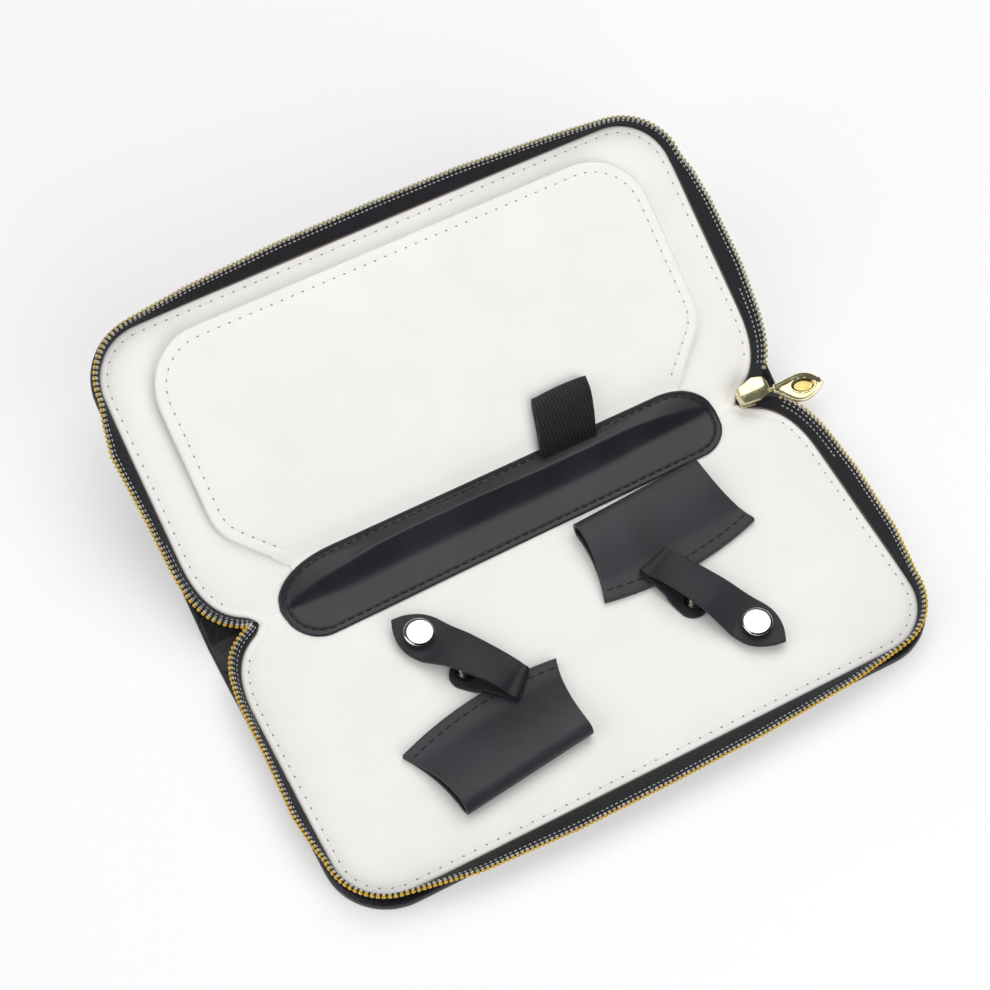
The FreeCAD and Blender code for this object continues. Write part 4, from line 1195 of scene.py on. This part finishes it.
def snap_cap(hand):
    bpy.ops.object.select_all(action="DESELECT")
    bpy.ops.mesh.primitive_uv_sphere_add(segments=64, ring_count=32, radius=CAP_RADIUS)
    bpy.ops.object.mode_set(mode="EDIT")
    bpy.ops.mesh.select_all(action="SELECT")
    bpy.ops.mesh.bisect(plane_co=(0, 0, 0), plane_no=(0, 0, -1), clear_outer=True, use_fill=False)
    bpy.ops.mesh.select_all(action="SELECT")
    bpy.ops.transform.resize(value=(1, 1, CAP_PRESS))
    bpy.ops.mesh.select_mode(type="EDGE")
    bpy.ops.mesh.select_all(action="DESELECT")
    bpy.ops.mesh.select_non_manifold()
    bpy.ops.mesh.extrude_region_move(TRANSFORM_OT_translate={"value": (0, 0, -CAP_EDGE)})
    bpy.ops.mesh.edge_face_add()
    bpy.ops.object.mode_set(mode="OBJECT")
    cap = bpy.context.active_object
    cap.name = f"{hand}_cap"
    seat = STRAPS[hand]["length"] - CAP_SETBACK
    stand = Matrix.Translation((CAP_SHIFT[hand], seat, HEAD_LEVEL + SKIN + CAP_LIFT))
    cap.data.transform(TO_METRES @ strap_frame(hand, "tongue") @ stand)
    tidy_mesh(cap, 45)
    paint(cap, CHROME)
    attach(cap, f"{hand}_strap")
    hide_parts(f"{hand}_snap_cap")
    return cap


for hand in ("left", "right"):
    print(snap_cap(hand).name)
    for half_snap in ("snap_socket", "snap_stud"):
        paint(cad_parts[f"{hand}_{half_snap}"], NICKEL)

# %% [markdown]
# ## Divider page
# A thin padded page of cream leather turns with the upper leaf. It thins towards its root, where a flap
# that stays on the spine is tucked under the strip. Its other edges are rounded, with a row of stitches
# just inside them. A cloth simulation would puff up the thin root, so the height is given point by point.

# %% Cut and sew the page

PAGE = Matrix.Translation((0, 65.639, 10.648)) @ Matrix.Rotation(math.radians(29.7), 4, "X")
PAGE_THICK = 2.4
PAGE_SEAM = 3.3
PAGE_PITCH = 3.4
PAGE_STITCH = (2.8, 0.36)
PAGE_CORNERS = [(-66.2, -0.6), (66.2, -0.6), (82, 16.2), (82, 75), (-82, 75), (-82, 16.2)]
PAGE_RADII = [0.8, 0.8, 15, 19, 19, 15]


def page_height(x, y, d):
    side = d if y > 4 else max(d, 0.4 * (y + 3))
    full = np.interp(y, [-3, 0, 2, 4.5, 8, 12], [0.25, 0.5, 1.1, 1.8, 2.2, PAGE_THICK])
    seam = 0.22 * math.exp(-(((d - PAGE_SEAM) / 0.6) ** 2)) * ease(y, 2, 6)
    return full - 0.2 * (1 - ease(d, 2.4, 4.6)) * ease(y, 2, 8) - seam - roll(side, 1.0) * min(full / 1.6, 1)


def page_under(x, y, d):
    return min(0.05 + roll(d, 0.9) * ease(y, 0, 6), 0.2 + 0.2 * max(y, 0))


page_edge = rounded(PAGE_CORNERS, PAGE_RADII, 1.2)
page = slab("divider_page", page_edge, 1.6, [0.15, 0.4, 0.9, 1.6, 2.4, 2.9, 3.3, 3.7, 4.4], page_height,
            page_under, in_frame(PAGE), angle=60)
paint(page, CREAM)
seam_line = np.array([p for p in inset(page_edge, PAGE_SEAM) if p[1] > 3.4])
gap = int(np.argmax(np.linalg.norm(np.diff(seam_line, axis=0), axis=1))) + 1
seam_line = np.roll(seam_line, -gap, 0) if np.ptp(seam_line[gap - 1 : gap + 1, 0]) > 20 else seam_line
line = [PAGE @ Vector((x, y, PAGE_THICK + 0.3)) for x, y in seam_line]
# Grey dots at the needle holes: painted shade.
page = join(page, sew("thread", page, line, PAGE_PITCH, *PAGE_STITCH, CREAM_THREAD),
            sew("holes", page, line, PAGE_PITCH, *NEEDLE_HOLE, HOLE_SHADE, sink=0.0, gap_only=True))
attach(page, "divider")
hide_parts("divider_front", "divider_core", "divider_back")
print(page.name, len(page.data.polygons), "faces")

flap_loop = rounded([(-66, -3), (66, -3), (66, -0.2), (-66, -0.2)], [0.4, 0.4, 0.4, 0.4], 1.2)
flap = slab("page_root_flap", flap_loop, 1.2, [0.2], lambda x, y, d: np.interp(y, [-3, 0], [0.25, 0.48]),
            lambda x, y, d: 0.05, in_frame(PAGE), angle=60)
paint(flap, CREAM)
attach(flap, "spine")
print(flap.name, len(flap.data.polygons), "faces")

# %% [markdown]
# ## Elastic loop
# A band of ribbed elastic is sewn to the strip's far edge and lies back over the page as a flat loop.
# A bevelled curve could sweep such a band, but this one also leans to the right as it rises. So it is
# drawn as a line seen from its side and the band is carried round it.

# %% Bend the loop

LOOP_LEFT, LOOP_RIGHT = 16.9, 35.9
ELASTIC_THICK = 1.2
UPPER = Matrix.Translation((0, 66.7376, 6.3719)) @ Matrix.Rotation(2 * HALF_FOLD, 4, "X")


def elastic_loop():
    line = [(-3.0, 5.6), (-1.2, 6.6), (1.0, 8.6), (4.0, 10.0), (8.5, 10.8), (12.5, 10.7), (14.6, 10.2),
            (15.2, 9.4), (14.4, 8.7), (12.0, 8.5), (7.0, 8.3), (3.0, 8.0), (0.4, 7.2), (-1.6, 6.0)]
    carry, total = fold_along(smooth_line(line, 3))
    band = [(LOOP_LEFT, 0), (LOOP_RIGHT, 0), (LOOP_RIGHT, total), (LOOP_LEFT, total)]

    def place(x, t, height):
        y, z = carry(t, height)
        part = (x - LOOP_LEFT) / (LOOP_RIGHT - LOOP_LEFT)
        reach = 1 + 0.03 * math.sin(math.pi * part)
        sway = 0.24 * max(y, 0) - 0.5 * ease(part, 0.8, 1.0) * ease(y, 10, 15)
        return UPPER @ Vector((x + sway, y * reach if y > 0 else y, z + 0.5 * part * ease(y, 2, 12)))

    piece = slab("elastic_band_loop", resample(band, 0.6), 0.6, [0.12, 0.3, 0.6],
                 *two_faces(ELASTIC_THICK, 0.4), place, angle=60)
    paint(piece, ELASTIC)
    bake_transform(piece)
    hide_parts("pen_loop")
    return piece


print(elastic_loop().name)

# %% [markdown]
# ## Slider
# The slider is cast metal: two plates on a post, under a hood with a ridged top and a small ring at its
# nose. The hood's plan is drawn as one face and pulled up twice, because its facets then come out as
# flat as the cast ones, and flat facets give a plated metal its sharp lights and darks.

# %% Build the slider

SLIDER = MIDDLE @ Matrix.Translation((86.3, 0, 5))
PLATE_THICK = 1.2
PLATE_PLAN = [(-4.6, -2.6), (1.0, -3.6), (3.9, -2.6), (4.6, 0), (3.9, 2.6), (1.0, 3.8), (-4.6, 2.6)]


def slider_plate(name, level):
    loop = rounded(PLATE_PLAN, [0.8, 2, 2, 2, 2, 2, 0.8], 0.5)
    return slab(name, loop, 0.8, [0.1, 0.3, 0.6], lambda x, y, d: level + PLATE_THICK - roll(d, 0.35),
                lambda x, y, d: level + roll(d, 0.35), in_frame(SLIDER), angle=60)


HOOD_PLAN = [(-5.6, -0.4), (-4.9, -2.8), (0.6, -3.6), (3.6, -3.0), (4.6, -1.4), (4.8, 0.8), (4.1, 2.9),
             (0.9, 3.9), (-4.6, 2.5)]
HOOD_LEVEL = 3.7
HOOD_WALL = 2.5 * MM
HOOD_RIDGE = (0.1 * MM, -0.2 * MM, 0.45 * MM)
RIDGE_SHARE = (0.74, 0.1, 1.0)
EYE_LEVEL = 5.7


def hood():
    """The plan is drawn, pulled up and pinched to a ridge, then its edges are softened."""
    model = new_object("hood", [(x, y, 0) for x, y in HOOD_PLAN], [list(range(len(HOOD_PLAN)))])
    only(model)
    bpy.ops.object.mode_set(mode="EDIT")
    bpy.ops.mesh.select_all(action="SELECT")
    bpy.ops.mesh.extrude_region_move(TRANSFORM_OT_translate={"value": (0, 0, HOOD_WALL)})
    bpy.ops.mesh.extrude_region_move(TRANSFORM_OT_translate={"value": HOOD_RIDGE})
    bpy.ops.transform.resize(value=RIDGE_SHARE)
    bpy.ops.mesh.select_all(action="SELECT")
    bpy.ops.mesh.bevel(offset=0.22 * MM, segments=3, affect="EDGES")
    bpy.ops.object.mode_set(mode="OBJECT")
    place = SLIDER @ Matrix.Translation((0, 0, HOOD_LEVEL))
    to_millimetres = Matrix.Diagonal((1 / MM, 1 / MM, 1 / MM, 1))
    model.data.transform(TO_METRES @ place @ to_millimetres)
    return tidy_mesh(model, 25)


def post():
    bpy.ops.object.select_all(action="DESELECT")
    bpy.ops.mesh.primitive_cube_add(size=2.4)
    model = bpy.context.active_object
    model.data.transform(TO_METRES @ SLIDER @ Matrix.Translation((0, 0, 2.4)))
    return model


def ring():
    """The small upright ring that the tab hangs on."""
    bpy.ops.object.select_all(action="DESELECT")
    bpy.ops.mesh.primitive_torus_add(major_radius=1.6, minor_radius=0.36, major_segments=32,
                                     minor_segments=10, rotation=(math.pi / 2, 0, 0))
    bpy.ops.object.transform_apply(location=False, rotation=True, scale=False)
    model = bpy.context.active_object
    place = SLIDER @ Matrix.Translation((5.5, -2.45, EYE_LEVEL)) @ Matrix.Rotation(math.radians(-16), 4, "Z")
    model.data.transform(TO_METRES @ place)
    return tidy_mesh(model, 60)


slider = join(slider_plate("slider", 3.6), slider_plate("lower_plate", 0.0), post(), hood(), ring())
paint(slider, GOLD)
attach(slider, "spine")
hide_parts("zip_slider", "slider_bail")
print(slider.name, len(slider.data.polygons), "faces")

# %% [markdown]
# ## Pull tab
# The tab is a pointed oval plate on the slider's ring. Its border stands up round a shallow face, so
# the far side is dark and the near side bright, and an oval dish with a thin raised line lies in it.
# One height for each point gives border, face and dish as one casting, with no seams between them.

# %% Shape the tab

TAB = (SLIDER @ Matrix.Translation((5.4, 0, EYE_LEVEL)) @ Matrix.Rotation(math.radians(-25.5), 4, "Z")
       @ Matrix.Translation((1.36, -2.17, 0)) @ Matrix.Rotation(math.radians(9.6), 4, "Z"))
DISH = (9.3, -0.1)
DISH_HALF = (3.7, 2.15)
DISH_DEPTH = 0.6
TAB_FACE = 0.35
TAB_UNDER = -0.5
FAR_SIDE = [(-0.4, 0.0), (-0.4, 1.4), (0.6, 1.5), (4.3, 2.6), (7.1, 3.6), (9.8, 3.9), (12.3, 3.2),
            (14.5, 1.6), (16.1, 0)]
NEAR_SIDE = [(16.1, 0), (14.5, -2.2), (12.3, -3.9), (9.6, -5.3), (7.0, -5.4), (4.6, -4.4), (2.5, -2.7),
             (0.6, -1.5), (-0.4, -1.4), (-0.4, 0.0)]


def tab_loop():
    path = np.vstack([smooth_line(FAR_SIDE, 2), smooth_line(NEAR_SIDE, 2)[1:-1]])
    return resample(path[::-1], 0.4)


def dish_ring(x, y):
    return math.hypot((x - DISH[0]) / DISH_HALF[0], (y - DISH[1]) / DISH_HALF[1])


def tab_height(x, y, d):
    ring = dish_ring(x, y)
    bowl = -DISH_DEPTH * (1 - ease(ring, 0.8, 1.0)) + 0.14 * math.exp(-(((ring - 1.08) / 0.07) ** 2))
    kerb = (0.95 if y > 0.2 * (x - DISH[0]) else 0.5) * (1 - ease(d, 0.2, 1.5)) * ease(ring, 1.05, 1.3)
    return TAB_FACE + bowl + kerb - roll(d, 0.25)


turn = np.linspace(0, 2 * math.pi, 21)[:-1]
eye = np.array([(1.35 + 0.75 * math.cos(t), 0.65 * math.sin(t)) for t in turn])
tab = slab("pull_leaf", tab_loop(), 0.3, [0.08, 0.2, 0.4, 0.7, 1.0, 1.3, 1.6], tab_height,
           lambda x, y, d: TAB_UNDER + roll(d, 0.2), in_frame(TAB), angle=60, hole=eye)
paint(tab, GOLD, DISH_GOLD)
to_tab = (TO_METRES @ TAB).inverted()
for face in tab.data.polygons:
    spot = to_tab @ face.center
    if dish_ring(spot.x, spot.y) < 0.98 and spot.z > -0.35:
        face.material_index = 1
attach(tab, "pull_tab")
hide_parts("pull_tab")
print(tab.name, len(tab.data.polygons), "faces")

# %% [markdown]
# ## Floor
# The case lies on a pale floor. More light could make the floor white, but it would wash out the cream
# leather, so the floor shines a little by itself and still takes the case's shadow.

# %% Lay the floor


def floor():
    bpy.ops.object.select_all(action="DESELECT")
    bpy.ops.mesh.primitive_plane_add(size=6, location=(0, 0, -0.0002))
    ground = bpy.context.active_object
    ground.name = "floor"
    material, tree, surface = new_material("pale_floor")
    place = add(tree, "ShaderNodeTexCoord").outputs["Object"]
    cloud = add(tree, "ShaderNodeTexNoise", {"Scale": 1 / (500 * MM)}, {"Vector": place})
    tone = add(tree, "ShaderNodeValToRGB", links={"Fac": cloud.outputs["Fac"]},
               stops=zip(SOFT, ("#CFCFCF", "#D2D2D2")))
    tree.links.new(tone.outputs["Color"], surface.inputs["Base Color"])
    surface.inputs["Roughness"].default_value = 0.9
    surface.inputs["Specular IOR Level"].default_value = 0.0
    surface.inputs["Emission Color"].default_value = colour("#FFFFFF")
    surface.inputs["Emission Strength"].default_value = 0.4
    paint(ground, material)
    return ground


print(floor().name, "laid")

# %% [markdown]
# ## Light
# A wide soft lamp stands behind the case, so that the metal shows white from above and dark towards the
# viewer. Soft lamps in front and on the left lift the shadows. An even white dome would be simpler, but
# metal has nothing to mirror in it and looks grey.

# %% Set the lights

def sky():
    """White low down behind the case, dim above and dark towards the viewer."""
    world = bpy.data.worlds.new("studio")
    world.use_nodes = True
    bpy.context.scene.world = world
    tree = world.node_tree
    ambient = tree.nodes["Background"]
    place = add(tree, "ShaderNodeTexCoord").outputs["Generated"]
    way = add(tree, "ShaderNodeSeparateXYZ", links={"Vector": place})
    behind = add(tree, "ShaderNodeMapRange",
                 {"From Min": -0.35, "From Max": 0.6, "To Min": 0.06, "To Max": 1.0},
                 {"Value": way.outputs["Y"]}, interpolation_type="SMOOTHSTEP")
    low = add(tree, "ShaderNodeMapRange",
              {"From Min": 0.08, "From Max": 0.3, "To Min": 1.3, "To Max": 0.1},
              {"Value": way.outputs["Z"]}, interpolation_type="SMOOTHSTEP")
    bright = add(tree, "ShaderNodeMath", links={0: behind.outputs["Result"], 1: low.outputs["Result"]},
                 operation="MULTIPLY")
    tree.links.new(bright.outputs["Value"], ambient.inputs["Strength"])
    ambient.inputs["Color"].default_value = colour("#FDFDFD")
    white = add(tree, "ShaderNodeBackground", {"Color": colour("#FFFFFF"), "Strength": 1.0})
    seen = add(tree, "ShaderNodeLightPath").outputs["Is Camera Ray"]
    mix = add(tree, "ShaderNodeMixShader", links={0: seen, 1: ambient.outputs[0], 2: white.outputs[0]})
    tree.links.new(mix.outputs[0], tree.nodes["World Output"].inputs["Surface"])


def lamp(name, place, size, watts, glossy=True):
    bpy.ops.object.select_all(action="DESELECT")
    bpy.ops.object.light_add(type="AREA", location=place)
    light = bpy.context.active_object
    light.name = name
    light.data.shape = "DISK"
    light.data.size = size
    light.data.energy = watts
    light.rotation_euler = (Vector((0, 0.04, 0.02)) - Vector(place)).to_track_quat("-Z", "Y").to_euler()
    light.visible_glossy = glossy


sky()
lamp("key", (0.25, 0.33, 0.97), 1.1, 6.0)
lamp("fill", (0.2, -1.0, 0.75), 1.4, 10.5, glossy=False)
lamp("side", (-0.9, 0.1, 0.8), 1.2, 4.5)
print("lamps:", len(bpy.data.lights))

# %% [markdown]
# ## Camera
# The camera looks down on the case from the near left. Its place was worked out from the corners of the
# lining. Set by eye it would be some millimetres off, so its three axes and its lens are written down
# as they came out.

# %% Place the camera
camera_data = bpy.data.cameras.new("camera")
camera_data.sensor_width = 36
camera_data.lens = 84.405
camera_data.shift_x = -0.0457
camera_data.shift_y = 0.0007
camera = bpy.data.objects.new("camera", camera_data)
bpy.context.scene.collection.objects.link(camera)
right = Vector((0.8808, -0.4734, 0.0062))
up = Vector((0.4068, 0.7636, 0.5014))
back = Vector((-0.2421, -0.4391, 0.8652))
camera.matrix_world = Matrix.Translation((-0.1581, -0.2546, 0.6128)) @ Matrix(
    (right, up, back)).transposed().to_4x4()
bpy.context.scene.camera = camera
bpy.context.scene.view_settings.view_transform = "Standard"
print("camera lens:", camera_data.lens, "mm")
